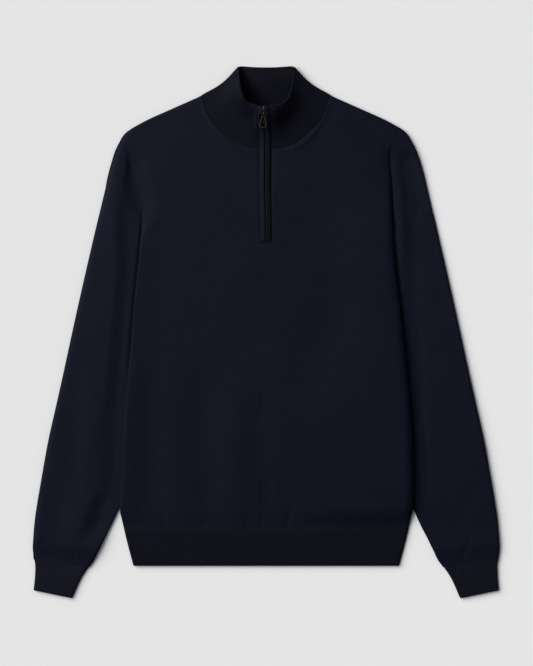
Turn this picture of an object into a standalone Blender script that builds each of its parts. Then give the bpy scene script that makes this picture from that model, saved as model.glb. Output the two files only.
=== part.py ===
"""Quarter zip sweater in fine knit, laid flat on its back.

Metres, +Z up, +Y towards the collar. The origin is the middle of the sweater's box, at the level
of the surface that it lies on. Left and right are the wearer's, so the left sleeve is at +X.
All sizes below are millimetres. Outlines are given for the left half and mirrored; only the
armholes differ, because the right sleeve is pulled further out.
"""

import math
from collections import namedtuple

import bmesh
import bpy
import numpy as np
from mathutils import Matrix, Vector

MM = 0.001
SIDES = {"left": 1, "right": -1}

# ---- cloth -----------------------------------------------------------------------------------
WALL = 1.5            # fine gauge knit, with its loft
RIB_WALL = 2.0        # hem and cuffs
COLLAR_WALL = 2.4     # rib folded double
SEAM = 0.4            # air between two pieces at a seam
NECK_SEAM = 0.9
CUFF_SEAM = 0.6

# ---- heights of the laid garment ---------------------------------------------------------------
BODY_TOP = 5.6        # outer face of the front over the belly
CHEST_TOP = 6.8       # the same at the shoulders and neck
HEM_TOP = 5.0         # rib band, both layers
SLEEVE_TOP = 6.6
CUFF_TOP = 5.2
CUFF_STEP = 10.0      # how far the sleeve takes to come down to the cuff
MARGIN_TOP = 3.6      # the sleeve's flattened margin, under the body's edge
LIP_UNDER = 4.1       # underside of the body's edge, where it lies over the sleeve
LIP_TOP = 7.6
LIP_REACH = 10.0      # how far in from its edge the body is fully raised
LIP_SLOPE = 18.0      # and how far it takes to come down, above
UNDER_SLOPE = 7.0     # and beneath
BLOUSE = 1.0          # swell of the body just above the rib
BLOUSE_RISE = 12.0    # the swell's length up from the seam, where it starts to fade, and how long it fades
BLOUSE_CREST = 15.0
BLOUSE_FALL = 35.0
RIB_STEP = 8.0        # how far the cloth takes to come down to the rib
CHEST_START = 120.0   # the level where the body starts to rise to the chest
CHEST_END = 260.0
SEAM_ROUND = 10.0     # radius of the cloth's turn down into the armhole's seam
FOLD_ROUND = 4.0      # the same at a fold
LIP_ROUND = 2.0       # at the raised edge's fold
MARGIN_ROUND = 2.1    # at the sleeve's margin's fold
SLEEVE_ROUND = 5.0    # at the sleeve's outer fold
MARGIN_REACH = 10.0   # the sleeve's flattened margin, and how far it takes to rise from it
MARGIN_SLOPE = 24.0

# ---- levels up the garment (y) -------------------------------------------------------------------
HEM_SEAM = -286.9
HEM_END = -338.6
CUFF_SEAM_OUTER = -329.9
CUFF_SEAM_INNER = -340.7
SLIT_BOTTOM = 133.4
UNDERARM = 155.0
LIP_START = 135.0     # the body's edge is fully raised below this level
LIP_END = -254.0      # and comes down to the surface below this one
LIP_FADE = 20.0
MARGIN_END = -314.0   # the sleeve's flat margin ends here
MARGIN_FADE = 40.0
SEWN_START = 20.0     # above the underarm, how far the fold takes to become the armhole's seam

# ---- zip -----------------------------------------------------------------------------------------
SLIT_HALF = 9.3       # half the width of the slit that holds tapes and welts
WELT_OUTER = 9.0
WELT_INNER = 0.9
WELT_TOP = 1.2        # above the front's face
WELT_CHEEK = 1.0
WELT_SIDE = 0.3
WELT_BOTTOM = -0.5
WELT_ROUND = 1.0
WELT_BY_SLIDER = 4.5  # the welts' inner edge beside the slider
WELT_ABOVE = 1.7      # and above it, where the zip is open a little
WELT_STEP = 6.5
TAPE_INNER = 0.75
TAPE_OUTER = 8.8
TAPE_TOP = -0.9
TAPE_BOTTOM = -1.9
ZIP_TOP = 328.0
ZIP_FOOT_X = -2.2     # the zip leans a little
ZIP_TOP_X = -4.7
SLIDER_Y = 312.5
SLIDER = Vector((6.4, 7.4, 0.9))    # upper plate: across, up the slope, thick
SLIDER_FOOT = -0.3    # underside of the upper plate, from the cloth's face
PLATE_BEVEL = 0.25
POST = Vector((0.7, 2.6, 2.6))
POST_CENTRE = Vector((0.0, 2.0, -1.4))
LOWER_PLATE = Vector((5.8, 7.0, 0.8))
LOWER_PLATE_CENTRE = Vector((0.0, 0.0, -2.7))
EYE_UP = 1.5          # the eye of the slider's lug, up the slope and out from the cloth
EYE_OUT = 2.3
EYE_RADIUS = 1.05
LUG_RADIUS = 1.8
LUG_WIDTH = 1.8
LUG_STEPS = 16
WIRE = 1.4            # the pull's wire
PULL_LENGTH = 17.8
PULL_AIR = 0.6        # between the pull's foot and the welts
PULL_HALF = (         # its left half, from the bar in the eye to the foot
    Vector((1.9, 0.15)),
    Vector((2.2, -0.7)),
    Vector((3.2, -6.0)),
    Vector((4.4, -12.0)),
    Vector((5.0, -15.4)),
    Vector((4.7, -17.0)),
    Vector((3.6, -PULL_LENGTH)),
)

# ---- tables --------------------------------------------------------------------------------------
Point = namedtuple("Point", "x y")
Rim = namedtuple("Rim", "x y z")
Share = namedtuple("Share", "along height")

NECK_POINT = Point(92.6, 345.1)
SHOULDER_TIP = Point(195.0, 296.6)

SIDE = (              # the body's side edge, hem to underarm
    Point(192.9, HEM_END),
    Point(198.9, -316.1),
    Point(206.2, HEM_SEAM),
    Point(209.6, -272.0),
    Point(212.9, -255.0),
    Point(211.8, -243.0),
    Point(209.2, -206.0),
    Point(206.0, -130.0),
    Point(198.3, -42.0),
    Point(189.8, 58.0),
    Point(184.8, 104.0),
    Point(181.2, 143.0),
    Point(179.3, UNDERARM),
)
ARMHOLES = {          # underarm to shoulder tip
    "left": (
        Point(179.3, UNDERARM),
        Point(178.6, 188.0),
        Point(179.6, 219.0),
        Point(182.6, 247.0),
        Point(187.4, 273.0),
        SHOULDER_TIP,
    ),
    "right": (
        Point(179.3, UNDERARM),
        Point(182.2, 166.0),
        Point(187.0, 184.0),
        Point(191.4, 206.0),
        Point(194.6, 230.0),
        Point(196.8, 252.0),
        Point(197.4, 274.0),
        SHOULDER_TIP,
    ),
}
SHOULDER = (
    NECK_POINT,
    Point(97.3, 342.4),
    Point(110.5, 336.4),
    Point(143.3, 321.9),
    Point(175.2, 307.4),
    SHOULDER_TIP,
)
OUTER = (             # the sleeve's outer edge, shoulder tip to the end of the cuff
    SHOULDER_TIP,
    Point(201.0, 292.2),
    Point(206.8, 285.7),
    Point(211.6, 277.4),
    Point(218.3, 263.9),
    Point(223.0, 249.4),
    Point(238.0, 191.4),
    Point(265.4, 75.4),
    Point(303.7, -98.6),
    Point(316.8, -156.6),
    Point(327.2, -214.6),
    Point(332.2, -243.6),
    Point(336.5, -272.6),
    Point(338.9, -301.6),
    Point(339.5, -314.0),
    Point(338.0, -326.0),
    Point(336.0, -337.0),
    Point(336.2, -352.4),
    Point(338.1, -374.1),
)
INNER = (             # the sleeve's inner edge, underarm to the end of the cuff; hidden down to y -255
    Point(179.3, UNDERARM),
    Point(181.9, 143.0),
    Point(182.9, 134.0),
    Point(181.6, 124.0),
    Point(178.6, 110.0),
    Point(178.8, 95.0),
    Point(182.0, 58.0),
    Point(190.3, -42.0),
    Point(198.0, -130.0),
    Point(201.0, -206.0),
    Point(203.8, -230.0),
    Point(208.4, -245.0),
    Point(213.7, -255.4),
    Point(221.4, -272.6),
    Point(235.3, -301.6),
    Point(242.4, -316.1),
    Point(250.3, -330.6),
    Point(257.9, -340.7),
    Point(266.0, -352.4),
    Point(281.6, -385.7),
)
NECK_FRONT = (        # seam of the collar, centre front to neck point
    Point(0.0, 266.8),
    Point(13.6, 266.9),
    Point(24.0, 268.5),
    Point(39.1, 274.3),
    Point(54.0, 283.3),
    Point(68.0, 295.4),
    Point(81.0, 308.9),
    Point(88.0, 325.0),
    Point(91.5, 338.0),
    NECK_POINT,
)
NECK_BACK = (         # the same, centre back to neck point
    Point(0.0, 320.0),
    Point(40.0, 325.0),
    Point(66.0, 333.5),
    Point(84.0, 341.5),
    NECK_POINT,
)
RIM_FRONT = (         # the collar's top edge, centre front to the corner
    Rim(0.0, 328.3, 27.8),
    Rim(9.0, 328.4, 27.8),
    Rim(17.0, 329.5, 27.4),
    Rim(25.3, 333.4, 26.4),
    Rim(30.8, 338.9, 25.0),
    Rim(34.3, 345.5, 23.2),
    Rim(37.2, 354.0, 20.8),
    Rim(39.2, 364.5, 17.4),
    Rim(40.4, 374.5, 13.4),
    Rim(41.0, 381.0, 10.6),
    Rim(41.2, 385.2, 7.2),
)
RIM_BACK = (          # the same, centre back to the corner
    Rim(0.0, 383.6, 0.0),
    Rim(15.0, 383.9, 0.0),
    Rim(30.0, 385.0, 0.0),
    Rim(36.0, 385.6, 0.7),
    Rim(39.6, 385.7, 3.2),
    Rim(41.2, 385.2, 7.2),
)
COLLAR_RISE = (       # how the front of the collar climbs from its seam to its edge
    Share(0.0, 0.0),
    Share(0.12, 0.035),
    Share(0.30, 0.15),
    Share(0.50, 0.42),
    Share(0.68, 0.75),
    Share(0.82, 0.96),
    Share(0.92, 1.02),
    Share(1.0, 1.0),
)
ARMHOLE_SEAM = (      # height of the outer face along the armhole, which lies in a valley
    Point(3.0, UNDERARM),
    Point(4.3, UNDERARM + 20.0),
    Point(4.6, 225.0),
    Point(5.4, 262.0),
    Point(5.9, 285.0),
    Point(6.2, SHOULDER_TIP.y),
)

NECK_BOW = 4.1        # how far the neck's outline bows in between seam and edge
NECK_BOW_SHAPE = 1.3
NECK_BOW_WAY = Vector((-0.616, -0.788))
CORNER_CLIMB = 0.9    # how much of the front's own climb is gone at the corner

# ---- how finely each piece is divided --------------------------------------------------------------
NECK_COLUMN = 0.5     # the column that ends at the neck point
FRONT_COLUMNS = (0.0, 0.07, 0.14, 0.21, 0.28, 0.35, 0.41, 0.455, 0.485, NECK_COLUMN, 0.60, 0.71, 0.81,
                 0.88, 0.93, 0.957, 0.979, 0.990, 0.9965, 1.0)
BACK_COLUMNS = (0.0, 0.16, 0.32, 0.44, 0.475, 0.49, NECK_COLUMN, 0.65, 0.76, 0.86, 0.915, 0.935, 0.953,
                0.979, 0.990, 0.9965, 1.0)
LOWER_ROWS = (HEM_SEAM + SEAM / 2, -282.0, -275.0, -264.0, -252.0, -225.0, -170.0, -110.0, -50.0, 10.0,
              70.0, 112.0, SLIT_BOTTOM)
UPPER_ROWS = (0.04, 0.13, 0.21, 0.32, 0.45, 0.6, 0.74, 0.86, 0.94, 0.975, 0.99, 1.0)
SLEEVE_RINGS = (0.0, 0.012, 0.03, 0.06, 0.10, 0.16, 0.24, 0.35, 0.48, 0.61, 0.73, 0.83, 0.90, 0.94,
                0.972, 0.988, 1.0)
RING_TURN = 0.3       # share of the sleeve over which its rings lose the armhole's curve
RING_FREE = 0.1       # share over which they keep clear of the body
RING_LAG = 1.35       # the rings start close together along the inner edge
SLEEVE_COLUMNS = (0.0, 0.02, 0.06, 0.13, 0.25, 0.4, 0.56, 0.72, 0.85, 0.92, 0.97, 0.99, 1.0)
CUFF_RINGS = (0.0, 0.15, 0.5, 1.0)
HEM_RINGS = (0.0, 0.12, 0.5, 1.0)
COLLAR_ROWS = (0.0, 0.1, 0.22, 0.36, 0.5, 0.64, 0.77, 0.88, 0.95, 1.0)
COLLAR_FRONT = tuple(u / NECK_COLUMN for u in FRONT_COLUMNS if u <= NECK_COLUMN)
COLLAR_BACK = tuple(u / NECK_COLUMN for u in BACK_COLUMNS if u < NECK_COLUMN)
ZIP_ROWS = (SLIT_BOTTOM + SEAM, 160.0, 190.0, 220.0, 250.0, 264.0, 272.0, 280.0, 288.0, 295.0, 301.0,
            307.0, SLIDER_Y, 316.5, 320.0, 324.0, ZIP_TOP)


def ease(share):
    """Smooth step from 0 to 1."""
    share = min(max(share, 0.0), 1.0)
    return share * share * (3.0 - 2.0 * share)


def round_off(share):
    """Quarter round: 0 at an edge, with an upright start, to 1."""
    share = min(max(share, 0.0), 1.0)
    return math.sqrt(1.0 - (1.0 - share) ** 2)


def mix(start, end, share):
    return start + (end - start) * share


def smooth(table, steps=6):
    """Points along a smooth line through the rows of a table."""
    knots = np.array(table, float)
    span = np.diff(knots, axis=0)
    length = np.linalg.norm(span, axis=1)[:, None]
    slope = span / length
    inside = (slope[:-1] * length[1:] + slope[1:] * length[:-1]) / (length[1:] + length[:-1])
    tangent = np.vstack((slope[:1], inside, slope[-1:]))
    share = np.linspace(0.0, 1.0, steps, endpoint=False)[:, None]
    pieces = []
    for i in range(len(span)):
        start = knots[i] * (2 * share ** 3 - 3 * share ** 2 + 1)
        end = knots[i + 1] * (3 * share ** 2 - 2 * share ** 3)
        leave = tangent[i] * length[i] * (share ** 3 - 2 * share ** 2 + share)
        arrive = tangent[i + 1] * length[i] * (share ** 3 - share ** 2)
        pieces.append(start + end + leave + arrive)
    return np.vstack(pieces + [knots[-1:]])


class Edge:
    """A smooth line through a table's points."""

    def __init__(self, table):
        self.points = smooth(table)
        self.span = np.diff(self.points, axis=0)
        reach = np.cumsum(np.linalg.norm(self.span, axis=1))
        self.shares = np.concatenate(((0.0,), reach / reach[-1]))

    def at(self, share, left=0.0):
        """The point at a share of the length, moved to the left of the line's direction."""
        point = np.array([np.interp(share, self.shares, axis) for axis in self.points.T])
        i = min(np.searchsorted(self.shares, share, side="right"), len(self.span)) - 1
        ahead = self.span[i] / np.linalg.norm(self.span[i][:2])
        point[:2] += left * np.array((-ahead[1], ahead[0]))
        return point

    def share_at_x(self, x):
        return float(np.interp(x, self.points[:, 0], self.shares))

    def x_at(self, y):
        """Half width at a level, on a line that runs steadily up the garment."""
        return float(np.interp(y, self.points[:, 1], self.points[:, 0]))

    def share_at_y(self, y):
        """Share of the length at a level, on a line that runs steadily down the garment."""
        return float(np.interp(-y, -self.points[:, 1], self.shares))

    def nearest(self, x, y):
        """Distance to the line, and the level of the nearest point on it."""
        away = np.array((x, y)) - self.points[:-1]
        share = np.clip((away * self.span).sum(axis=1) / (self.span ** 2).sum(axis=1), 0.0, 1.0)
        gap = np.linalg.norm(away - self.span * share[:, None], axis=1)
        i = int(gap.argmin())
        return float(gap[i]), float(self.points[i, 1] + self.span[i, 1] * share[i])


body_edges = {SIDES[name]: Edge(SIDE + seam[1:]) for name, seam in ARMHOLES.items()}
armholes = {SIDES[name]: Edge(seam) for name, seam in ARMHOLES.items()}
sleeve_insides = {SIDES[name]: Edge(tuple(reversed(seam)) + INNER[1:]) for name, seam in ARMHOLES.items()}
shoulder = Edge(SHOULDER)
outer_edge = Edge(OUTER)
inner_edge = Edge(INNER)
neck_front = Edge(NECK_FRONT)
neck_back = Edge(NECK_BACK)
rim_front = Edge(RIM_FRONT)
rim_back = Edge(RIM_BACK)
collar_rise = smooth(COLLAR_RISE)


def zip_x(y):
    """Middle of the zip at a level."""
    return mix(ZIP_FOOT_X, ZIP_TOP_X, max(y - SLIT_BOTTOM, 0.0) / (ZIP_TOP - SLIT_BOTTOM))


# ---- heights of the outer faces -------------------------------------------------------------------
def lip_share(y):
    """1 where the body's edge lies over the sleeve."""
    return (1.0 - ease((y - LIP_START) / (UNDERARM - LIP_START))) * ease((y - LIP_END) / LIP_FADE + 1.0)


def side_of(x):
    return 1 if x >= 0.0 else -1


def sewn_share(y):
    """0 at the side's fold, 1 along the armhole's seam."""
    return ease((y - UNDERARM) / SEWN_START)


def body_heights(x, y):
    """Heights of the front's outer face and of the back's underside."""
    to_edge, level = body_edges[side_of(x)].nearest(abs(x), y)
    to_shoulder = shoulder.nearest(abs(x), y)[0]
    lip = lip_share(level)
    above_rib = y - HEM_SEAM
    full = mix(BODY_TOP, CHEST_TOP, ease((y - CHEST_START) / (CHEST_END - CHEST_START)))
    full += BLOUSE * ease(above_rib / BLOUSE_RISE) * (1.0 - ease((above_rib - BLOUSE_CREST) / BLOUSE_FALL))
    full = mix(full, HEM_TOP, 1.0 - ease(above_rib / RIB_STEP))
    full += (LIP_TOP - full) * lip * (1.0 - ease((to_edge - LIP_REACH) / LIP_SLOPE))
    under = LIP_UNDER * lip * (1.0 - ease((to_edge - LIP_REACH + 1.0) / UNDER_SLOPE))
    sewn = sewn_share(level)
    fold = (full + under) / 2
    seam_height = np.interp(level, [row.y for row in ARMHOLE_SEAM], [row.x for row in ARMHOLE_SEAM])
    rounding = round_off(to_edge / mix(mix(FOLD_ROUND, LIP_ROUND, lip), SEAM_ROUND, sewn))
    top = mix(mix(fold, seam_height, sewn), full, rounding)
    bottom = mix(mix(fold, 0.0, sewn), under, rounding)
    rounding = round_off(to_shoulder / FOLD_ROUND)
    return mix(full / 2, top, rounding), mix(full / 2, bottom, rounding)


def sleeve_heights(x, y):
    """Heights of a sleeve's, or a cuff's, upper and lower outer faces."""
    to_inside, level = sleeve_insides[side_of(x)].nearest(abs(x), y)
    to_outside, outer_level = outer_edge.nearest(abs(x), y)
    margin = 1.0 - ease((level - LIP_START) / (UNDERARM - LIP_START))
    margin *= ease((level - MARGIN_END) / MARGIN_FADE)
    cuff = ease((CUFF_SEAM_OUTER + CUFF_STEP - outer_level) / CUFF_STEP)
    full = mix(SLEEVE_TOP, CUFF_TOP, cuff)
    full += (MARGIN_TOP - full) * margin * (1.0 - ease((to_inside - MARGIN_REACH) / MARGIN_SLOPE))
    sewn = sewn_share(level)
    fold = mix(MARGIN_TOP / 2, full / 2, 1.0 - margin)
    seam_height = np.interp(level, [row.y for row in ARMHOLE_SEAM], [row.x for row in ARMHOLE_SEAM])
    rounding = round_off(to_inside / mix(mix(FOLD_ROUND, MARGIN_ROUND, margin), SEAM_ROUND, sewn))
    top = mix(mix(fold, seam_height, sewn), full, rounding)
    bottom = mix(mix(fold, 0.0, sewn), 0.0, rounding)
    rounding = round_off(to_outside / SLEEVE_ROUND)
    return mix(full / 2, top, rounding), mix(full / 2, bottom, rounding)


def front_profile(y):
    """Height of the outer face along the zip: the front up to the collar's seam, then the collar."""
    seam_y = NECK_FRONT[0].y
    seam_height = body_heights(zip_x(min(y, seam_y)), min(y, seam_y))[0]
    if y <= seam_y:
        return seam_height
    climb = np.interp((y - seam_y) / (RIM_FRONT[0].y - seam_y), collar_rise[:, 0], collar_rise[:, 1])
    return mix(seam_height, RIM_FRONT[0].z, climb)


# ---- objects ----------------------------------------------------------------------------------------
def clear_scene():
    for thing in list(bpy.data.objects):
        bpy.data.objects.remove(thing, do_unlink=True)


def material(name, colour, roughness, metallic=0.0):
    made = bpy.data.materials.new(name)
    made.use_nodes = True
    shader = made.node_tree.nodes["Principled BSDF"]
    shader.inputs["Base Color"].default_value = (*colour, 1.0)
    shader.inputs["Roughness"].default_value = roughness
    shader.inputs["Metallic"].default_value = metallic
    return made


def add_object(name, mesh, finish, collection):
    thing = bpy.data.objects.new(name, mesh)
    collection.objects.link(thing)
    mesh.materials.append(finish)
    return thing


def skin(name, rows, wrap=False, flip=False, gap=None):
    """An open sheet through rows of points; gap(row, column) leaves a cell out."""
    form = bmesh.new()
    grid = [[form.verts.new(Vector(point) * MM) for point in row] for row in rows]
    width = len(rows[0])
    for j in range(len(rows) - 1):
        for i in range(width if wrap else width - 1):
            if gap and gap(j, i):
                continue
            k = (i + 1) % width
            corners = [grid[j][i], grid[j][k], grid[j + 1][k], grid[j + 1][i]]
            form.faces.new(reversed(corners) if flip else corners)
    mesh = bpy.data.meshes.new(name)
    form.to_mesh(mesh)
    form.free()
    mesh.shade_smooth()
    return mesh


def add_wall(thing, thickness):
    """Gives an open sheet its thickness, inwards from the outer face."""
    wall = thing.modifiers.new("wall", "SOLIDIFY")
    wall.thickness = thickness * MM
    wall.offset = -1.0
    wall.use_even_offset = True


def mirrored(rows, side):
    return [[(side * x, y, z) for x, y, z in row] for row in rows]


# ---- body ---------------------------------------------------------------------------------------------
def panel_plan(u, side, inner_low, inner_top, neck):
    """A column of a half panel: its points in plan, hem to neck or shoulder.

    u is 0 at the middle or at the slit's edge and 1 at the side.
    """
    body_edge = body_edges[side]
    if u <= NECK_COLUMN:
        start = neck.share_at_x(inner_top)
        top = neck.at(mix(start, 1.0, u / NECK_COLUMN), left=-NECK_SEAM / 2)
    else:
        top = shoulder.at((u - NECK_COLUMN) / (1.0 - NECK_COLUMN))
    column = [(mix(inner_low, body_edge.x_at(y), u), y) for y in LOWER_ROWS]
    foot = column[-1]
    side_foot = body_edge.x_at(SLIT_BOTTOM)
    for v in UPPER_ROWS:
        side_y = mix(SLIT_BOTTOM, SHOULDER_TIP.y, v)
        inset = body_edge.x_at(side_y) - mix(side_foot, SHOULDER_TIP.x, v)
        if side_y > UNDERARM:
            inset -= SEAM / 2
        column.append((mix(foot[0], top[0], v) + inset * u ** 3, mix(foot[1], top[1], v)))
    return column


def upright(near, edge, seam_shift, sewn):
    """The last two points before a fold's seam, one above the other, so that the wall ends level."""
    x, y = (mix(edge[i], near[i], sewn) for i in (0, 1))
    return (x, y, near[2]), (edge[0], edge[1], edge[2] + seam_shift * (1.0 - sewn))


def half_panel(columns, side, inner_low, inner_top, neck, face, seam_shift):
    """Rows of points of a half panel; face picks the front's or the back's heights."""
    made = []
    for u in columns:
        plan = panel_plan(u, side, inner_low, inner_top, neck)
        made.append([(x, y, body_heights(side * x, y)[face]) for x, y in plan])
    rows = [list(row) for row in zip(*made)]
    for row in rows:
        row[-2:] = upright(row[-2], row[-1], seam_shift, sewn_share(row[-1][1]))
    for i, u in enumerate(columns):
        if u >= NECK_COLUMN:
            rows[-2][i], rows[-1][i] = upright(rows[-2][i], rows[-1][i], seam_shift, 0.0)
    return mirrored(rows, side)


def make_front(finish, collection):
    """The front, with the slit that the zip is sewn into."""
    halves = []
    for side in SIDES.values():
        inner_low = SLIT_HALF + side * zip_x(SLIT_BOTTOM)
        inner_top = SLIT_HALF + side * zip_x(NECK_FRONT[0].y)
        halves.append(half_panel(FRONT_COLUMNS, side, inner_low, inner_top, neck_front, 0, SEAM / 2))
    rows = [list(reversed(right)) + left for left, right in zip(*halves)]
    slit_column = len(FRONT_COLUMNS) - 1
    slit_row = len(LOWER_ROWS) - 1
    sheet = skin("front_panel", rows, gap=lambda j, i: i == slit_column and j >= slit_row)
    add_wall(add_object("front_panel", sheet, finish, collection), WALL)


def make_back(finish, collection):
    halves = [half_panel(BACK_COLUMNS, side, 0.0, 0.0, neck_back, 1, -SEAM / 2) for side in SIDES.values()]
    rows = [list(reversed(right))[:-1] + left for left, right in zip(*halves)]
    sheet = skin("back_panel", rows, flip=True)
    add_wall(add_object("back_panel", sheet, finish, collection), WALL)


# ---- tubes: hem, sleeves, cuffs -----------------------------------------------------------------------
def ring_points(plan, heights, side=1):
    """A closed ring: the upper face from the first point of the plan to the last, then back beneath."""
    faces = [heights(side * x, y) for x, y in plan]
    upper = [(side * x, y, high) for (x, y), (high, low) in zip(plan, faces)]
    lower = [(side * x, y, low) for (x, y), (high, low) in zip(plan, faces)]
    ends = {0, len(plan) - 1}
    for i in ends:
        x, y, z = upper[i]
        upper[i] = (x, y, (z + lower[i][2]) / 2)
    return upper + lower[-2:0:-1]


def make_hem(finish, collection):
    """The rib band, one tube round the hem."""
    rows = []
    for share in HEM_RINGS:
        y = mix(HEM_SEAM - SEAM / 2, HEM_END, share)
        reach = body_edges[1].x_at(y)
        plan = [(reach * side * u, y) for side in (-1, 1)
                for u in (sorted(BACK_COLUMNS[1:], reverse=side < 0))]
        rows.append(ring_points(plan, body_heights))
    sheet = skin("hem_rib", rows, wrap=True, flip=True)
    add_wall(add_object("hem_rib", sheet, finish, collection), RIB_WALL)


def sleeve_plan(side, outer_share, inner_share, bend, gap):
    """Plan of a ring across a sleeve, from its inner edge to its outer one.

    bend is 1 at the armhole, whose seam the ring follows, and fades to 0 down the sleeve.
    """
    start = inner_edge.at(inner_share)
    end = outer_edge.at(outer_share)
    armhole = armholes[side]
    foot = armhole.at(0.0)
    tip = armhole.at(1.0)
    plan = []
    for s in SLEEVE_COLUMNS:
        bow = armhole.at(s) - (foot + (tip - foot) * s)
        x, y = start + (end - start) * s + bow * bend
        plan.append((x + gap, y))
    return plan


def make_sleeve(name, side, finish, collection):
    """A flattened tube whose rings turn from the armhole's seam to lie across the arm."""
    outer_end = outer_edge.share_at_y(CUFF_SEAM_OUTER + CUFF_SEAM / 2)
    inner_end = inner_edge.share_at_y(CUFF_SEAM_INNER + CUFF_SEAM / 2)
    rows = []
    for t in SLEEVE_RINGS:
        bend = 1.0 - ease(t / RING_TURN)
        gap = SEAM / 2 * (bend + 1.0 - ease((t - RING_FREE) / RING_FREE))
        plan = sleeve_plan(side, outer_end * t, inner_end * t ** RING_LAG, bend, gap)
        rows.append(ring_points(plan, sleeve_heights, side))
    sheet = skin(name, rows, wrap=True, flip=side > 0)
    add_wall(add_object(name, sheet, finish, collection), WALL)


def make_cuff(name, side, finish, collection):
    outer_start = outer_edge.share_at_y(CUFF_SEAM_OUTER - CUFF_SEAM / 2)
    inner_start = inner_edge.share_at_y(CUFF_SEAM_INNER - CUFF_SEAM / 2)
    rows = []
    for share in CUFF_RINGS:
        plan = sleeve_plan(side, mix(outer_start, 1.0, share), mix(inner_start, 1.0, share), 0.0, 0.0)
        rows.append(ring_points(plan, sleeve_heights, side))
    sheet = skin(name, rows, wrap=True, flip=side > 0)
    add_wall(add_object(name, sheet, finish, collection), RIB_WALL)


# ---- collar -------------------------------------------------------------------------------------------
def collar_point(base, top, up, front_share, side_share):
    """A point of the collar between its seam and its edge.

    The front climbs by the table; the side fold bows in, as the outline of the neck does.
    """
    climb = mix(up, float(np.interp(up, collar_rise[:, 0], collar_rise[:, 1])), front_share)
    bow = NECK_BOW * math.sin(math.pi * up) ** NECK_BOW_SHAPE * side_share
    x = mix(base[0], top[0], up) + NECK_BOW_WAY.x * bow
    y = mix(base[1], top[1], up) + NECK_BOW_WAY.y * bow
    return (x, y, max(mix(base[2], top[2], climb), 0.0))


def collar_stations(side):
    """Foot and head of each upright line of the half collar, centre front to centre back."""
    inner_low = SLIT_HALF + side * zip_x(NECK_FRONT[0].y)
    inner_top = SLIT_HALF + side * zip_x(ZIP_TOP)
    start_low = neck_front.share_at_x(inner_low)
    start_top = rim_front.share_at_x(inner_top)
    for share in COLLAR_FRONT:
        x, y = neck_front.at(mix(start_low, 1.0, share), left=NECK_SEAM / 2)
        foot = (x, y, body_heights(side * x, y)[0])
        yield foot, rim_front.at(mix(start_top, 1.0, share)), 1.0 - CORNER_CLIMB * share ** 2, share ** 3
    for share in reversed(COLLAR_BACK):
        x, y = neck_back.at(share, left=NECK_SEAM / 2)
        foot = (x, y, body_heights(side * x, y)[1])
        yield foot, rim_back.at(share), 0.0, share ** 3


def make_collar(finish, collection):
    """The standing collar, one strip from the zip round the back of the neck to the zip."""
    halves = []
    for side in SIDES.values():
        stations = list(collar_stations(side))
        rows = [[collar_point(foot, head, up, front, fold) for foot, head, front, fold in stations]
                for up in COLLAR_ROWS]
        halves.append(mirrored(rows, side))
    rows = [left + list(reversed(right))[1:] for left, right in zip(*halves)]
    sheet = skin("collar", rows)
    add_wall(add_object("collar", sheet, finish, collection), COLLAR_WALL)


# ---- zip ----------------------------------------------------------------------------------------------
def strip(name, side, section, finish, collection):
    """A strip along the zip with the cross section that section(y) gives, closed at both ends."""
    form = bmesh.new()
    rings = []
    for y in ZIP_ROWS:
        height = front_profile(y)
        ring = [Vector((zip_x(y) + side * x, y, height + z)) * MM for x, z in section(y)]
        rings.append([form.verts.new(point) for point in ring])
    for low, high in zip(rings, rings[1:]):
        for i in range(len(low)):
            k = (i + 1) % len(low)
            form.faces.new((low[i], low[k], high[k], high[i]))
    form.faces.new(rings[0])
    form.faces.new(rings[-1])
    bmesh.ops.recalc_face_normals(form, faces=form.faces)
    mesh = bpy.data.meshes.new(name)
    form.to_mesh(mesh)
    form.free()
    add_object(name, mesh, finish, collection)


def tape_section(y):
    return ((TAPE_INNER, TAPE_BOTTOM), (TAPE_OUTER, TAPE_BOTTOM),
            (TAPE_OUTER, TAPE_TOP), (TAPE_INNER, TAPE_TOP))


def welt_section(y):
    """A rounded strip; its inner edge steps back where the slider sits, and a little above it."""
    near = 1.0 - ease((abs(y - SLIDER_Y) - SLIDER.y / 2) / WELT_STEP)
    inner = mix(WELT_INNER, WELT_BY_SLIDER, near)
    if y > SLIDER_Y:
        inner = max(inner, WELT_ABOVE)
    middle = (inner + WELT_OUTER) / 2
    return ((inner, WELT_BOTTOM), (WELT_OUTER, WELT_BOTTOM), (WELT_OUTER, WELT_SIDE),
            (WELT_OUTER - WELT_ROUND, WELT_CHEEK), (middle, WELT_TOP), (inner + WELT_ROUND, WELT_CHEEK),
            (inner, WELT_SIDE))


def slider_frame():
    """Place and tilt of the slider on the slope of the collar."""
    reach = SLIDER.y / 2
    slope = (front_profile(SLIDER_Y + reach) - front_profile(SLIDER_Y - reach)) / SLIDER.y
    place = Vector((zip_x(SLIDER_Y), SLIDER_Y, front_profile(SLIDER_Y))) * MM
    return place, math.atan(slope)


def box_mesh(form, size, centre):
    made = bmesh.ops.create_cube(form, size=1.0)
    bmesh.ops.scale(form, vec=size * MM, verts=made["verts"])
    bmesh.ops.translate(form, vec=centre * MM, verts=made["verts"])


def add_part(name, form, collection, place=(0.0, 0.0, 0.0)):
    """A passing object that is about to be joined to another."""
    mesh = bpy.data.meshes.new(name)
    form.to_mesh(mesh)
    form.free()
    part = bpy.data.objects.new(name, mesh)
    part.location = place
    collection.objects.link(part)
    return part


def union(target, part):
    """Joins part to target and removes it."""
    join = target.modifiers.new("join", "BOOLEAN")
    join.operation = "UNION"
    join.object = part
    graph = bpy.context.evaluated_depsgraph_get()
    joined = bpy.data.meshes.new_from_object(target.evaluated_get(graph))
    target.modifiers.clear()
    target.data = joined
    bpy.data.objects.remove(part, do_unlink=True)


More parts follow.
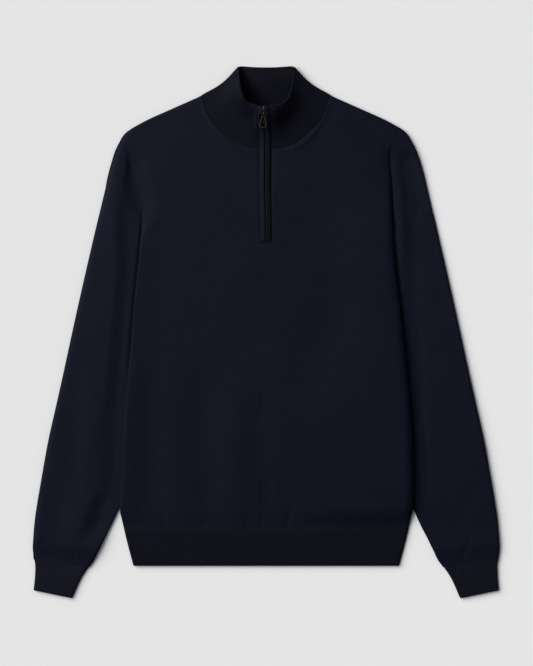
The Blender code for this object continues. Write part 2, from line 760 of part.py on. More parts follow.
def make_slider(finish, collection):
    """Two plates and the post between them, with the lug that holds the pull."""
    form = bmesh.new()
    box_mesh(form, SLIDER, Vector((0.0, 0.0, SLIDER_FOOT + SLIDER.z / 2)))
    bmesh.ops.bevel(form, geom=form.edges[:], offset=PLATE_BEVEL * MM, segments=1, affect="EDGES")
    mesh = bpy.data.meshes.new("zip_slider")
    form.to_mesh(mesh)
    form.free()
    slider = add_object("zip_slider", mesh, finish, collection)

    for size, centre in ((POST, POST_CENTRE), (LOWER_PLATE, LOWER_PLATE_CENTRE)):
        form = bmesh.new()
        box_mesh(form, size, centre)
        union(slider, add_part("plate", form, collection))

    form = bmesh.new()
    reach = LUG_WIDTH / 2
    corners = [form.verts.new(Vector((x, 0.0, r)) * MM)
               for x, r in ((-reach, EYE_RADIUS), (reach, EYE_RADIUS),
                            (reach, LUG_RADIUS), (-reach, LUG_RADIUS))]
    profile = [form.edges.new((corners[i - 1], corners[i])) for i in range(4)]
    bmesh.ops.spin(form, geom=profile, cent=(0.0, 0.0, 0.0), axis=(1.0, 0.0, 0.0), angle=math.tau,
                   steps=LUG_STEPS, use_merge=True)
    bmesh.ops.recalc_face_normals(form, faces=form.faces)
    union(slider, add_part("lug", form, collection, Vector((0.0, EYE_UP, EYE_OUT)) * MM))
    place, tilt = slider_frame()
    slider.location = place
    slider.rotation_euler = (tilt, 0.0, 0.0)


def pull_frame():
    """The pull's pivot in the lug's eye, and its tilt when it rests on the welts."""
    place, tilt = slider_frame()
    pivot = place + Matrix.Rotation(tilt, 3, "X") @ Vector((0.0, EYE_UP, EYE_OUT)) * MM
    end_y = pivot.y / MM - PULL_LENGTH * math.cos(tilt)
    end_z = front_profile(end_y) + WELT_TOP + WIRE / 2 + PULL_AIR
    return pivot, math.atan2(pivot.z / MM - end_z, pivot.y / MM - end_y)


def make_pull(finish, collection):
    """A loop of wire: a short bar through the eye, two spreading legs and a rounded foot."""
    points = list(PULL_HALF) + [Vector((-x, y)) for x, y in reversed(PULL_HALF)]
    curve = bpy.data.curves.new("zip_pull", "CURVE")
    curve.dimensions = "3D"
    curve.bevel_depth = WIRE / 2 * MM
    curve.bevel_resolution = 2
    spline = curve.splines.new("POLY")
    spline.points.add(len(points) - 1)
    spline.use_cyclic_u = True
    for knot, (x, y) in zip(spline.points, points):
        knot.co = (x * MM, y * MM, 0.0, 1.0)
    pull = add_object("zip_pull", curve, finish, collection)
    pivot, tilt = pull_frame()
    pull.location = pivot
    pull.rotation_euler = (tilt, 0.0, 0.0)


def main():
    clear_scene()
    collection = bpy.data.collections.new("quarter_zip_sweater")
    bpy.context.scene.collection.children.link(collection)
    knit = material("navy_knit", (0.0075, 0.0085, 0.0150), 0.9)
    rib = material("navy_rib", (0.0070, 0.0080, 0.0140), 0.9)
    tape = material("zip_tape", (0.0050, 0.0055, 0.0090), 0.8)
    steel = material("zip_metal", (0.45, 0.44, 0.42), 0.3, 1.0)
    make_front(knit, collection)
    make_back(knit, collection)
    make_hem(rib, collection)
    make_collar(rib, collection)
    for name, side in SIDES.items():
        make_sleeve("sleeve_" + name, side, knit, collection)
        make_cuff("cuff_" + name, side, rib, collection)
        strip("zip_tape_" + name, side, tape_section, tape, collection)
        strip("zip_welt_" + name, side, welt_section, rib, collection)
    make_slider(steel, collection)
    make_pull(steel, collection)


main()
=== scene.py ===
"""Quarter zip sweater in fine knit, laid flat on its back: looks.

The frame is in metres with +Z up and +Y towards the collar; the tables below are millimetres, in the
same frame. Left and right are the wearer's. Outlines are given for the left half and mirrored.
"""

import math
from collections import namedtuple

import bmesh
import bpy
import numpy as np
from mathutils import Matrix, Vector


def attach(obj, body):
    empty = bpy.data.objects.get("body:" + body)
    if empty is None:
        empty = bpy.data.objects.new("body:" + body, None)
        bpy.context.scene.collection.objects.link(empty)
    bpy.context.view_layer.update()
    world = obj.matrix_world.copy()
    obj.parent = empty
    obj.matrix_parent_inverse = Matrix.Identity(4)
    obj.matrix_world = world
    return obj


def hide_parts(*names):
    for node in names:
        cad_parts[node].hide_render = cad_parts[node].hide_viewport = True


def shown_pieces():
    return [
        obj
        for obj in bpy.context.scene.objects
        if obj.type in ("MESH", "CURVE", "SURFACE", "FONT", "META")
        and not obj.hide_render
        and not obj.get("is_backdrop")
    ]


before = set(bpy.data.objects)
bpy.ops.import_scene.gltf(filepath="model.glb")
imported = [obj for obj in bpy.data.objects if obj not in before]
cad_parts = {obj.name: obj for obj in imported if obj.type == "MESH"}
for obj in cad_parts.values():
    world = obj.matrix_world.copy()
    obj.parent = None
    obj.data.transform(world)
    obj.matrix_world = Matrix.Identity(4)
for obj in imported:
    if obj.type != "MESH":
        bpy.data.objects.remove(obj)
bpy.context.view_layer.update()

MM = 0.001
SIDES = {"left": 1, "right": -1}

# ---- cloth
WALL = 1.2
RIB_WALL = 1.6
COLLAR_WALL = 2.2
SEAM = 0.3            # air between two pieces at a seam
NECK_SEAM = 0.5
CUFF_SEAM = 0.4
RIM_STEPS = 3         # points round a free edge
WALE = 0.97           # the knit's stitches, across and along
COURSE = 0.75
RIB_PITCH = 2.3
RIB_RISE = 0.16
COLLAR_RIB_RISE = 0.18

# ---- heights of the laid garment
BODY_TOP = 5.6        # outer face of the front over the belly
CHEST_TOP = 6.8       # the same at the shoulders and neck
HEM_TOP = 5.0         # rib band, both layers
CUFF_TOP = 5.2
CUFF_STEP = 30.0      # how far the sleeve takes to come down to the cuff
ARM_WIDTH = 90.0      # the sleeve has its full height where it is this wide
MARGIN_TOP = 3.6      # the sleeve's flattened margin, under the body's edge
LIP_WALL = 1.7        # height of a tucked edge over that underside
UNDER_REACH = 9.0     # how far in from its edge the body's underside is fully raised
UNDER_SLOPE = 7.0     # and how far it takes to come down
BLOUSE = 0.3          # swell of the body just above the rib
BLOUSE_RISE = 18.0    # the swell's length up from the seam, where it starts to fade, and how long it fades
BLOUSE_CREST = 15.0
BLOUSE_FALL = 35.0
RIB_STEP = 30.0       # how far the cloth takes to come down to the rib
CHEST_START = 120.0   # the level where the body starts to rise to the chest
CHEST_END = 260.0
FOLD_ROUND = 4.0      # how far in from a fold the cloth is rounded
MARGIN_ROUND = 2.1    # the same at the fold of the sleeve's margin

# ---- levels up the garment (y)
HEM_SEAM = -286.9
HEM_END = -338.6
CUFF_SEAM_OUTER = -329.9
CUFF_SEAM_INNER = -340.7
CUFF_SEAM_X = (257.9, 337.4)
SLIT_BOTTOM = 133.4
UNDERARM = 155.0
LIP_START = 135.0     # the body's upper face near its edge has its lip's height below this level
LIP_BLEND = {1: 120.0, -1: 75.0}    # how far it takes to lose that height, up the armhole
LIP_TOP_FADE = 20.0   # and how far the tucked edge takes to come down to the seam
LIP_END = -254.0      # the lip lies over the sleeve above this level, and ends below it
LIP_FADE = 30.0
MARGIN_END = -314.0   # the sleeve's flat margin ends here
MARGIN_FADE = 40.0
SEWN_LOW = 130.0      # round the underarm, how far a fold's width takes to become the seam's
SEWN_REACH = 55.0
SEWN_START = 32.0     # above the underarm, how far the fold takes to become the armhole's seam

# ---- zip
SLIT_HALF = 9.3       # half the width of the slit that holds tapes and welts
WELT_OUTER = 9.0
WELT_INNER = 0.08     # low down the welts all but meet
WELT_GROOVE = 0.42    # and leave a groove above, this far to each side
WELT_PARTING = 0.40   # the welts part a little below the collar
WELT_PARTING_AT = (253.0, 12.0)
WELT_TOP = 2.0        # above the front's face
WELT_BOTTOM = -0.8
WELT_BY_SLIDER = 4.5  # the welts' inner edge beside the slider
WELT_ABOVE = 0.9      # and above it, where the zip is open a little
WELT_STEP = 9.0       # how far they take to step back, below the slider and above it
WELT_STEP_ABOVE = 1.2
WELT_SHOULDER = ((0.0, 1.1), (0.25, 1.7), (0.8, WELT_TOP))    # its rounded edge, out from the groove
WELT_FLAT = 1.2       # how far out from the groove its back starts
WELT_STEPS = (0.0, 0.25, 0.5, 0.75, 1.0)
WELT_FLANGE = 7.6     # beyond this the strip dips under the slit's edge
WELT_DIP = 0.8
WELT_FLANGE_TOPS = {1: 1.1, -1: 0.2}    # its height there, by side
WELT_SAGS = {1: 2.6, -1: 1.1}    # how its back falls to there: late, or evenly
TAPE_INNER = 0.75
TAPE_MIDDLE = 4.8
TAPE_OUTER = 8.8
TAPE_TOP = -0.9
TAPE_BOTTOM = -1.9
SECTION_ROUND = 2.2   # the way round a strip's section, as a share of its width
ZIP_TOP = 328.0
SLIDER_Y = 312.5
SLIDER_LENGTH = 7.4

# ---- tables
Point = namedtuple("Point", "x y")
Rim = namedtuple("Rim", "x y z")
Lay = namedtuple("Lay", "seam body_soft sleeve_soft body_round sleeve_flat sleeve_round under tuck lip "
                        "lip_reach lip_slope lip_round lip_top margin_top margin_reach margin_slope "
                        "margin_start margin_blend sleeve_top dip_top dip_reach dip_slope dip_end "
                        "outer_round")


def rows_of(kind, *rows):
    """A table whose rows are all of one kind."""
    return tuple(kind(*row) for row in rows)


NECK_POINT = Point(92.6, 345.1)
SHOULDER_TIP = Point(195.0, 296.6)

# the welts' outer margins lie this high over the front's face
WELT_DITCHES = rows_of(Point, (0.55, 140), (0.1, 200), (-0.5, 250))
ZIP_LINE = rows_of(Point,   # the zip's middle: it leans and wavers a little
    (-0.9, SLIT_BOTTOM), (-1, 165), (-1.2, 180), (-1.8, 200), (-2.1, 220), (-1.8, 240), (-1.5, 257),
    (-1.6, 278), (-2, 290), (-3, 300), (-4.2, 309), (-4.5, 316), (-4.5, ZIP_TOP),
)

SIDE = rows_of(Point,   # the body's side edge, hem to underarm
    (192.9, HEM_END), (198.9, -316.1), (206.2, HEM_SEAM), (209.6, -272), (212.9, -255), (211.8, -243),
    (209.2, -206), (206, -130), (198.3, -42), (189.8, 58), (184.8, 104), (181.2, 143), (179.3, UNDERARM),
)
ARMHOLES = {   # underarm to shoulder tip
    "left": rows_of(Point, (184.3, UNDERARM), (183.8, 170), (183.2, 189), (182.6, 206), (181.1, 226),
        (179.3, 243), (178.4, 256), (180.8, 270), (187.2, 283), SHOULDER_TIP),
    "right": rows_of(Point, (179.3, UNDERARM), (180, 172), (182, 190), (186.2, 206), (190.4, 219),
        (194.2, 233), (196.8, 252), (197.4, 274), SHOULDER_TIP),
}
LIP_OUT = {   # how far the body's edge is puffed out over the sleeve, at levels
    "left": rows_of(Point, (0, -262), (1.5, -250), (5.2, -229), (6.3, -171), (6, -26), (3.4, 46),
        (2.5, 70), (2, 96), (1.9, 122), (2.2, 133.4), (3.1, 145), (5, UNDERARM)),
    "right": rows_of(Point, (0, -262), (0, UNDERARM)),
}
SHOULDER = rows_of(Point,
    NECK_POINT, (97.3, 342.4), (110.5, 336.4), (143.3, 321.9), (175.2, 307.4), SHOULDER_TIP,
)
OUTER = rows_of(Point,   # the sleeve's outer edge, shoulder tip to the end of the cuff
    SHOULDER_TIP, (201, 292.2), (206.8, 285.7), (211.6, 277.4), (218.3, 263.9), (223, 249.4), (238, 191.4),
    (265.4, 75.4), (303.7, -98.6), (316.8, -156.6), (327.2, -214.6), (332.2, -243.6), (336.5, -272.6),
    (338.9, -301.6), (339.5, -314), (338, -326), (336, -337), (336.2, -352.4), (338.1, -374.1),
)
INNER = rows_of(Point,   # the sleeve's inner edge, underarm to the end of the cuff; hidden down to y -255
    (179.3, UNDERARM), (179.6, 143), (179.9, 134), (179.6, 124), (178.6, 110), (178.8, 95), (182, 58),
    (190.3, -42), (198, -130), (201, -206), (203.8, -230), (208.4, -245), (213.7, -255.4), (221.4, -272.6),
    (235.3, -301.6), (242.4, -316.1), (250.3, -330.6), (257.9, -340.7), (266, -352.4), (281.6, -385.7),
)
NECK_FRONT = rows_of(Point,   # seam of the collar, centre front to neck point
    (0, 266.8), (13.6, 266.9), (24, 268.5), (39.1, 274.3), (54, 283.3), (68, 295.4), (81, 308.9),
    (88, 325), (91.5, 338), NECK_POINT,
)
NECK_BACK = rows_of(Point,   # the same, centre back to neck point
    (0, 320), (40, 325), (66, 333.5), (84, 341.5), NECK_POINT,
)
RIM_FRONT = rows_of(Rim,   # the collar's top edge, centre front to the corner
    (0, 328.3, 27.8), (9, 328.4, 27.8), (17, 329.5, 27.4), (25.3, 333.4, 26.4), (30.8, 338.9, 25),
    (34.3, 345.5, 23.2), (37.2, 354, 20.8), (39.2, 364.5, 17.4), (40.4, 374.5, 13.4), (41, 381, 10.6),
    (41.2, 385.2, 7.2),
)
RIM_BACK = rows_of(Rim,   # the same, centre back to the corner
    (0, 383.6, 0), (15, 383.9, 0), (30, 385, 0), (36, 385.6, 0.7), (39.6, 385.7, 3.2), (41.2, 385.2, 7.2),
)
COLLAR_RISE = (   # how the front of the collar climbs: shares of the way up, and of the edge's height
    (0, 0), (0.12, 0.035), (0.3, 0.15), (0.5, 0.42), (0.68, 0.75), (0.82, 0.96), (0.92, 1.02), (1, 1),
)
FREE_RISE = {   # the same by side, away from the zip: nearly flat, then steeply up to a rolled edge
    1: ((0, 0), (0.15, 0.03), (0.35, 0.09), (0.5, 0.17), (0.65, 0.37), (0.78, 0.69), (0.88, 0.91),
        (0.93, 0.975), (0.965, 1.045), (1, 1)),
    -1: ((0, 0), (0.15, 0.01), (0.35, 0.05), (0.5, 0.18), (0.65, 0.48), (0.78, 0.8), (0.88, 0.95),
         (0.93, 0.985), (0.965, 1.045), (1, 1)),
}
LAYS = {   # how each side lies; seam, sleeve_round, lip and lip_slope give values at levels, upwards
    "left": Lay(
        seam=rows_of(Point, (3, UNDERARM), (2.8, 175), (2.8, 228), (3, 246), (3.8, 258), (5.4, 268),
                     (6.6, 278), (6.7, SHOULDER_TIP.y)),
        body_soft=0.0, sleeve_soft=1.0, body_round=10.0, sleeve_flat=25.0,
        sleeve_round=rows_of(Point, (40, UNDERARM), (40, 240), (20, SHOULDER_TIP.y)), under=4.4, tuck=1.0,
        lip=rows_of(Point, (13.6, -250), (13.6, -100), (12.8, -20), (11, 60), (10.4, 120), (9.6, 180)),
        lip_reach=13.0, lip_slope=rows_of(Point, (185, -200), (165, -100), (95, 30)), lip_round=14.0,
        lip_top=152.0, margin_top=3.9, margin_reach=34.0, margin_slope=95.0, margin_start=150.0,
        margin_blend=120.0, sleeve_top=7.4, dip_top=3.2, dip_reach=-6.0, dip_slope=6.0, dip_end=-400.0,
        outer_round=4.0,
    ),
    "right": Lay(
        seam=rows_of(Point, (4.6, UNDERARM), (3.9, 170), (2.9, 190), (2.9, 206), (2.9, 226), (3.2, 242),
                     (4.8, 256), (6.3, 272), (6.7, SHOULDER_TIP.y)),
        body_soft=1.0, sleeve_soft=1.0, body_round=28.0, sleeve_flat=0.0,
        sleeve_round=rows_of(Point, (24, 170), (24, 206), (16, 226), (9, 242), (10, 258),
                             (16, SHOULDER_TIP.y)), under=4.1, tuck=0.0,
        lip=rows_of(Point, (8.4, -250), (8.2, -100), (7, -30), (6.9, 60), (7.2, 140)),
        lip_reach=0.0, lip_slope=rows_of(Point, (38, 0), (38, 100)), lip_round=2.2, lip_top=135.0,
        margin_top=5.0, margin_reach=19.0, margin_slope=23.0, margin_start=125.0, margin_blend=85.0,
        sleeve_top=8.8, dip_top=3.0, dip_reach=0.3, dip_slope=4.5, dip_end=-30.0, outer_round=8.0,
    ),
}
DIP_FADE = 50.0       # the dip under the body's edge fades over this length, below its end

# ---- creases: each a smooth line, in rows of x, y, the crease's half width and its height
FRONT_CREASES = (
    ((-150, -248, 5, 0), (-149, -270, 4.2, -0.6), (-149.5, -286, 3.4, -0.4)),
    ((-92, -262, 5, 0), (-93, -275, 4, -0.35), (-93, -286, 3.4, -0.3)),
    ((-29, -252, 5, 0), (-27.8, -270, 3.8, -0.45), (-27, -286, 3.2, -0.3)),
    ((-6, -262, 4, 0), (-7, -276, 3.4, -0.35), (-7.2, -286, 3, -0.3)),
    ((39, -244, 5, 0), (34, -265, 4.2, -0.9), (29, -286, 3.4, -0.8)),
    ((78, -264, 5, 0), (77, -277, 4, -0.3), (76, -286, 3.4, -0.25)),
    ((126.4, -250, 5, 0), (125.4, -271, 4, -0.5), (125.2, -286, 3.2, -0.4)),
    ((187, -250, 5, 0), (186, -270, 4, -0.5), (187, -286, 3.4, -0.5)),
    ((-170, -20, 14, 0), (-168, -85, 16, -0.7), (-166, -180, 18, -1.3), (-166, -240, 18, -1.4),
     (-166, -284, 16, -0.4)),
    ((-104, 20, 18, 0), (-98, -60, 20, -0.7), (-93, -150, 22, -1.8), (-90, -230, 22, -1.9),
     (-90, -284, 20, -0.8)),
    ((-48, -10, 18, 0), (-45, -90, 20, 0.7), (-42, -170, 20, 1.4), (-43, -240, 20, 1.2),
     (-44, -284, 18, 0.2)),
    ((30, 60, 80, 0), (40, -50, 84, 2.2), (46, -140, 88, 3.2), (48, -215, 88, 2.4), (48, -285, 86, 0)),
    ((-12, -60, 16, 0), (-9, -150, 18, -1), (-7, -230, 18, -0.8), (-7, -284, 16, -0.3)),
    ((174, 278, 6, 0), (175, 260, 6.4, -0.7), (175.4, 244, 6.4, -0.8), (174, 220, 6, 0)),
    ((-97, 346, 4, 0.4), (-84.5, 315, 4.2, 1.3), (-69.5, 291, 4.4, 1.4), (-54, 275.5, 4.4, 1.3),
     (-38, 266, 4.2, 1), (-14, 260.5, 4, 0.5)),
    ((97, 346, 4, 0.4), (84.5, 315, 4.2, 0.8), (69.5, 291, 4.4, 0.9), (54, 275.5, 4.4, 0.9),
     (38, 266, 4.2, 0.7), (14, 260.5, 4, 0.4)),
)
BACK_CREASES = (
    ((-60, -240, 8, 0), (-66, -120, 9, 0.8), (-52, 20, 9, 0.9), (-58, 150, 8, 0)),
    ((95, -200, 8, 0), (88, -60, 9, 0.9), (99, 70, 8, 0.7), (96, 190, 8, 0)),
    ((-150, 120, 9, 0), (-100, 200, 10, 0.9), (-40, 250, 9, 0)),
    ((150, 110, 9, 0), (112, 205, 10, 0.8), (52, 262, 9, 0)),
)
SLEEVE_CREASES = {
    "right": (
        ((224, -40, 12, 0), (231, -98, 13, -0.5), (240, -171, 14, -1.3), (242, -229, 14, -1.4),
         (244, -275, 11, -0.9), (250, -304, 9, 0)),
        ((270, -20, 14, 0), (275, -55, 16, -0.7), (280, -113, 19, -1.4), (280, -157, 20, -1.9),
         (285, -200, 21, -2), (295, -244, 20, -1.9), (303, -280, 15, -1.2), (310, -304, 12, 0)),
        ((212, 268, 8, 0), (217, 242, 11, 1.6), (218, 206, 13, 2.6), (221, 170, 13, 2.2),
         (225, 130, 12, 0.8), (228, 100, 12, 0)),
        ((277.7, -304, 3.4, 0), (278.7, -321, 3.4, -0.5), (279.7, -332, 3, -0.5)),
        ((333.1, -311, 3.8, -0.4), (325.6, -305.9, 4, -0.6), (312, -294, 4, 0)),
    ),
    "left": (
        ((190, 274, 6, 0), (191, 252, 8.5, 0.9), (194, 206, 11, 1.8), (196, 170, 11.5, 2),
         (198.5, 130, 11.5, 1.3), (201, 92, 10, 0)),
        ((206, 264, 7, 0), (204, 246, 8, -0.9), (208, 206, 9, -1), (211, 170, 10, -1.1),
         (213, 119, 13, -1.1), (214, 46, 12, -1.2), (217, -26, 11, -1.3), (223, -98, 10, -1.4),
         (227, -171, 9, -1.5), (229, -229, 9, -1.3), (231, -270, 9, 0)),
        ((187, 170, 4, 0), (189, 135, 4, -0.8), (191, 100, 4, -0.9), (195, 60, 4, -0.6), (199, 20, 4, 0)),
        ((297.5, -288, 3, 0), (293.5, -304, 3.6, -0.7), (289.2, -317.6, 3.6, -0.8),
         (285.7, -329.1, 3, -0.5)),
    ),
}
COLLAR_CREASES = (
    ((-46, 341, 6, 0), (-37, 330, 6.5, -1.6), (-27, 320, 8, -3.2), (-19, 312, 8.5, -4),
     (-15, 300, 7, -1.2)),
    ((-46, 336, 13, 0), (-36, 325, 13, -1.2), (-27, 316, 13, -1.8), (-16, 306, 13, -1.2)),
)
CUFF_CREASES = {
    "right": (
        ((290, -331, 3.4, -0.3), (281, -338, 4, -0.6), (271, -345.5, 3.4, -0.2)),
    ),
    "left": (
        ((287.5, -342, 2.6, -0.4), (287.5, -347.4, 3, -1), (287, -353, 2.6, 0)),
    ),
}


# ---- swells: slow unevenness of the laid cloth, as seed, size and height
FRONT_SWELL = (5, 90.0, 0.55)
BACK_SWELL = (9, 80.0, 0.7)
SLEEVE_SWELLS = {1: (12, 70.0, 0.5), -1: (10, 70.0, 0.5)}
UNDER_SWELLS = {1: (18, 60.0, 0.7), -1: (16, 60.0, 0.7)}
WAVES = 6


# ---- sums on arrays
def ease(share):
    """Smooth step from 0 to 1."""
    share = np.clip(share, 0.0, 1.0)
    return share * share * (3.0 - 2.0 * share)


def round_off(share):
    """Quarter round: 0 at an edge, with an upright start, to 1."""
    return np.sqrt(1.0 - (1.0 - np.clip(share, 0.0, 1.0)) ** 2)


def mix(start, end, share):
    return start + (end - start) * share


def height_at(table, y):
    """Value of a table of values at levels."""
    return np.interp(y, [row.y for row in table], [row.x for row in table])


def smooth(table, steps=6):
    """Points along a smooth line through the rows of a table."""
    knots = np.array(table, float)
    span = np.diff(knots, axis=0)
    length = np.linalg.norm(span, axis=1)[:, None]
    slope = span / length
    inside = (slope[:-1] * length[1:] + slope[1:] * length[:-1]) / (length[1:] + length[:-1])
    tangent = np.vstack((slope[:1], inside, slope[-1:]))
    share = np.linspace(0.0, 1.0, steps, endpoint=False)[:, None]
    pieces = []
    for i in range(len(span)):
        start = knots[i] * (2 * share ** 3 - 3 * share ** 2 + 1)
        end = knots[i + 1] * (3 * share ** 2 - 2 * share ** 3)
        leave = tangent[i] * length[i] * (share ** 3 - 2 * share ** 2 + share)
        arrive = tangent[i + 1] * length[i] * (share ** 3 - share ** 2)
        pieces.append(start + end + leave + arrive)
    return np.vstack(pieces + [knots[-1:]])


def points_on(line, reach, places):
    """Points of a line at places of its running length, or share."""
    return np.stack([np.interp(places, reach, axis) for axis in line.T], axis=-1)


def on_curve(curve, share):
    return np.interp(share, curve[:, 0], curve[:, 1])


def nearest(line, x, y):
    """Distance to a line of points, and where on it: segment and share of the segment."""
    span = np.diff(line[:, :2], axis=0)
    away_x = np.ravel(x)[:, None] - line[None, :-1, 0]
    away_y = np.ravel(y)[:, None] - line[None, :-1, 1]
    share = np.clip((away_x * span[:, 0] + away_y * span[:, 1]) / (span ** 2).sum(axis=1), 0.0, 1.0)
    gap = np.hypot(away_x - span[:, 0] * share, away_y - span[:, 1] * share)
    i = gap.argmin(axis=1)
    spot = np.arange(len(i))
    return tuple(values.reshape(np.shape(x)) for values in (gap[spot, i], i, share[spot, i]))


class Edge:
    """A smooth line through a table's points."""

    def __init__(self, table):
        self.points = smooth(table)
        self.span = np.diff(self.points, axis=0)
        reach = np.cumsum(np.linalg.norm(self.span, axis=1))
        self.shares = np.concatenate(((0.0,), reach / reach[-1]))

    def at(self, share, left=0.0):
        """Points at shares of the length, moved to the left of the line's direction."""
        share = np.asarray(share, float)
        points = points_on(self.points, self.shares, share)
        i = np.clip(np.searchsorted(self.shares, share, side="right") - 1, 0, len(self.span) - 1)
        ahead = self.span[i]
        ahead = ahead / np.hypot(ahead[..., 0], ahead[..., 1])[..., None]
        points[..., 0] -= left * ahead[..., 1]
        points[..., 1] += left * ahead[..., 0]
        return points

    def share_at_x(self, x):
        return np.interp(x, self.points[:, 0], self.shares)

    def x_at(self, y):
        """Half width at a level, on a line that runs steadily up the garment."""
        return np.interp(y, self.points[:, 1], self.points[:, 0])

    def share_at_y(self, y):
        """Share of the length at a level, on a line that runs steadily down the garment."""
        return np.interp(-y, -self.points[:, 1], self.shares)

    def nearest(self, x, y):
        """Distance to the line, and the level of the nearest point on it."""
        gap, i, share = nearest(self.points, x, y)
        return gap, self.points[i, 1] + self.span[i, 1] * share


def puffed(seam, out):
    """A side's line moved outwards by a table of distances at levels."""
    return tuple((x + height_at(out, y), y) for x, y in seam)


lays = {SIDES[name]: lay for name, lay in LAYS.items()}
body_edges = {SIDES[name]: Edge(puffed(SIDE[:-1], LIP_OUT[name]) + seam) for name, seam in ARMHOLES.items()}
armholes = {SIDES[name]: Edge(seam) for name, seam in ARMHOLES.items()}
sleeve_insides = {SIDES[name]: Edge(tuple(reversed(seam)) + INNER[1:]) for name, seam in ARMHOLES.items()}
shoulder = Edge(SHOULDER)
outer_edge = Edge(OUTER)
inner_edges = {SIDES[name]: Edge(seam[:1] + INNER[1:]) for name, seam in ARMHOLES.items()}
neck_front = Edge(NECK_FRONT)
neck_back = Edge(NECK_BACK)
rim_front = Edge(RIM_FRONT)
rim_back = Edge(RIM_BACK)
collar_rise = smooth(COLLAR_RISE)
free_rise = {side: smooth(table) for side, table in FREE_RISE.items()}


def zip_x(y):
    """Middle of the zip at a level."""
    return height_at(ZIP_LINE, y)


def slit_edge(side, y):
    """How far out from x = 0 the slit's edge is, on one side, at a level."""
    return SLIT_HALF + side * zip_x(y)


def relief(creases, x, y):
    """Height that creases add: each a soft trough or ridge along its line."""
    total = np.zeros(np.shape(x))
    for crease in creases:
        line = smooth(crease)
        gap, i, share = nearest(line, x, y)
        width = mix(line[i, 2], line[i + 1, 2], share)
        total += mix(line[i, 3], line[i + 1, 3], share) * np.exp(-(gap / width) ** 2)
    return total


def swell(x, y, seed, size, rise):
    """Slow unevenness of cloth laid by hand: a few crossing waves."""
    dice = np.random.default_rng(seed)
    total = np.zeros(np.shape(x))
    for _ in range(WAVES):
        turn = dice.uniform(0.0, math.pi)
        length = size * dice.uniform(0.6, 1.6)
        phase = dice.uniform(0.0, math.tau)
        total += np.sin((x * math.cos(turn) + y * math.sin(turn)) * math.tau / length + phase)
    return total * rise / WAVES


# ---- heights of the outer faces
def lip_share(y, start, fade):
    """1 where the body's edge lies over the sleeve."""
    return (1.0 - ease((y - start) / fade)) * ease((y - LIP_END) / LIP_FADE + 1.0)


def sewn_share(y):
    """0 at the side's fold, 1 along the armhole's seam."""
    return ease((y - UNDERARM) / SEWN_START)


def half_heights(side, x, y):
    """Heights of the body's upper and lower outer faces, on one half's own outline."""
    lay = lays[side]
    to_edge, level = body_edges[side].nearest(x, y)
    to_shoulder = shoulder.nearest(x, y)[0]
    lip = lip_share(y, lay.lip_top, LIP_TOP_FADE)
    above_rib = y - HEM_SEAM
    full = mix(BODY_TOP, CHEST_TOP, ease((y - CHEST_START) / (CHEST_END - CHEST_START)))
    fading = 1.0 - ease((above_rib - BLOUSE_CREST) / BLOUSE_FALL)
    full = full + BLOUSE * ease(above_rib / BLOUSE_RISE) * fading
    full = mix(full, HEM_TOP, 1.0 - ease(above_rib / RIB_STEP))
    raised = 1.0 - ease((to_edge - lay.lip_reach) / height_at(lay.lip_slope, y))
    full = full + (height_at(lay.lip, y) - full) * lip_share(y, LIP_START, LIP_BLEND[side]) * raised
    under = lay.under * lip * (1.0 - ease((to_edge - UNDER_REACH) / UNDER_SLOPE))
    sewn = sewn_share(level)
    fold = mix((full + under) / 2, under + LIP_WALL, lip * lay.tuck)
    held = ease((y - LIP_END) / LIP_FADE + 1.0)
    reach = mix(mix(FOLD_ROUND, lay.lip_round, held), lay.body_round, ease((y - SEWN_LOW) / SEWN_REACH))
    rounding = mix(round_off(to_edge / reach), ease(to_edge / reach), lay.body_soft * sewn)
    top = mix(mix(fold, height_at(lay.seam, level), sewn), full, rounding)
    bottom = mix(mix(fold, 0.0, sewn), under, round_off(to_edge / FOLD_ROUND))
    rounding = round_off(to_shoulder / FOLD_ROUND)
    return mix(full / 2, top, rounding), mix(full / 2, bottom, rounding)


def body_heights(x, y):
    """Heights of the front's outer face and of the back's underside."""
    x, y = np.broadcast_arrays(np.asarray(x, float), np.asarray(y, float))
    top = np.empty(x.shape)
    bottom = np.empty(x.shape)
    for side, here in ((1, x >= 0.0), (-1, x < 0.0)):
        if here.any():
            top[here], bottom[here] = half_heights(side, np.abs(x[here]), y[here])
    return top, bottom


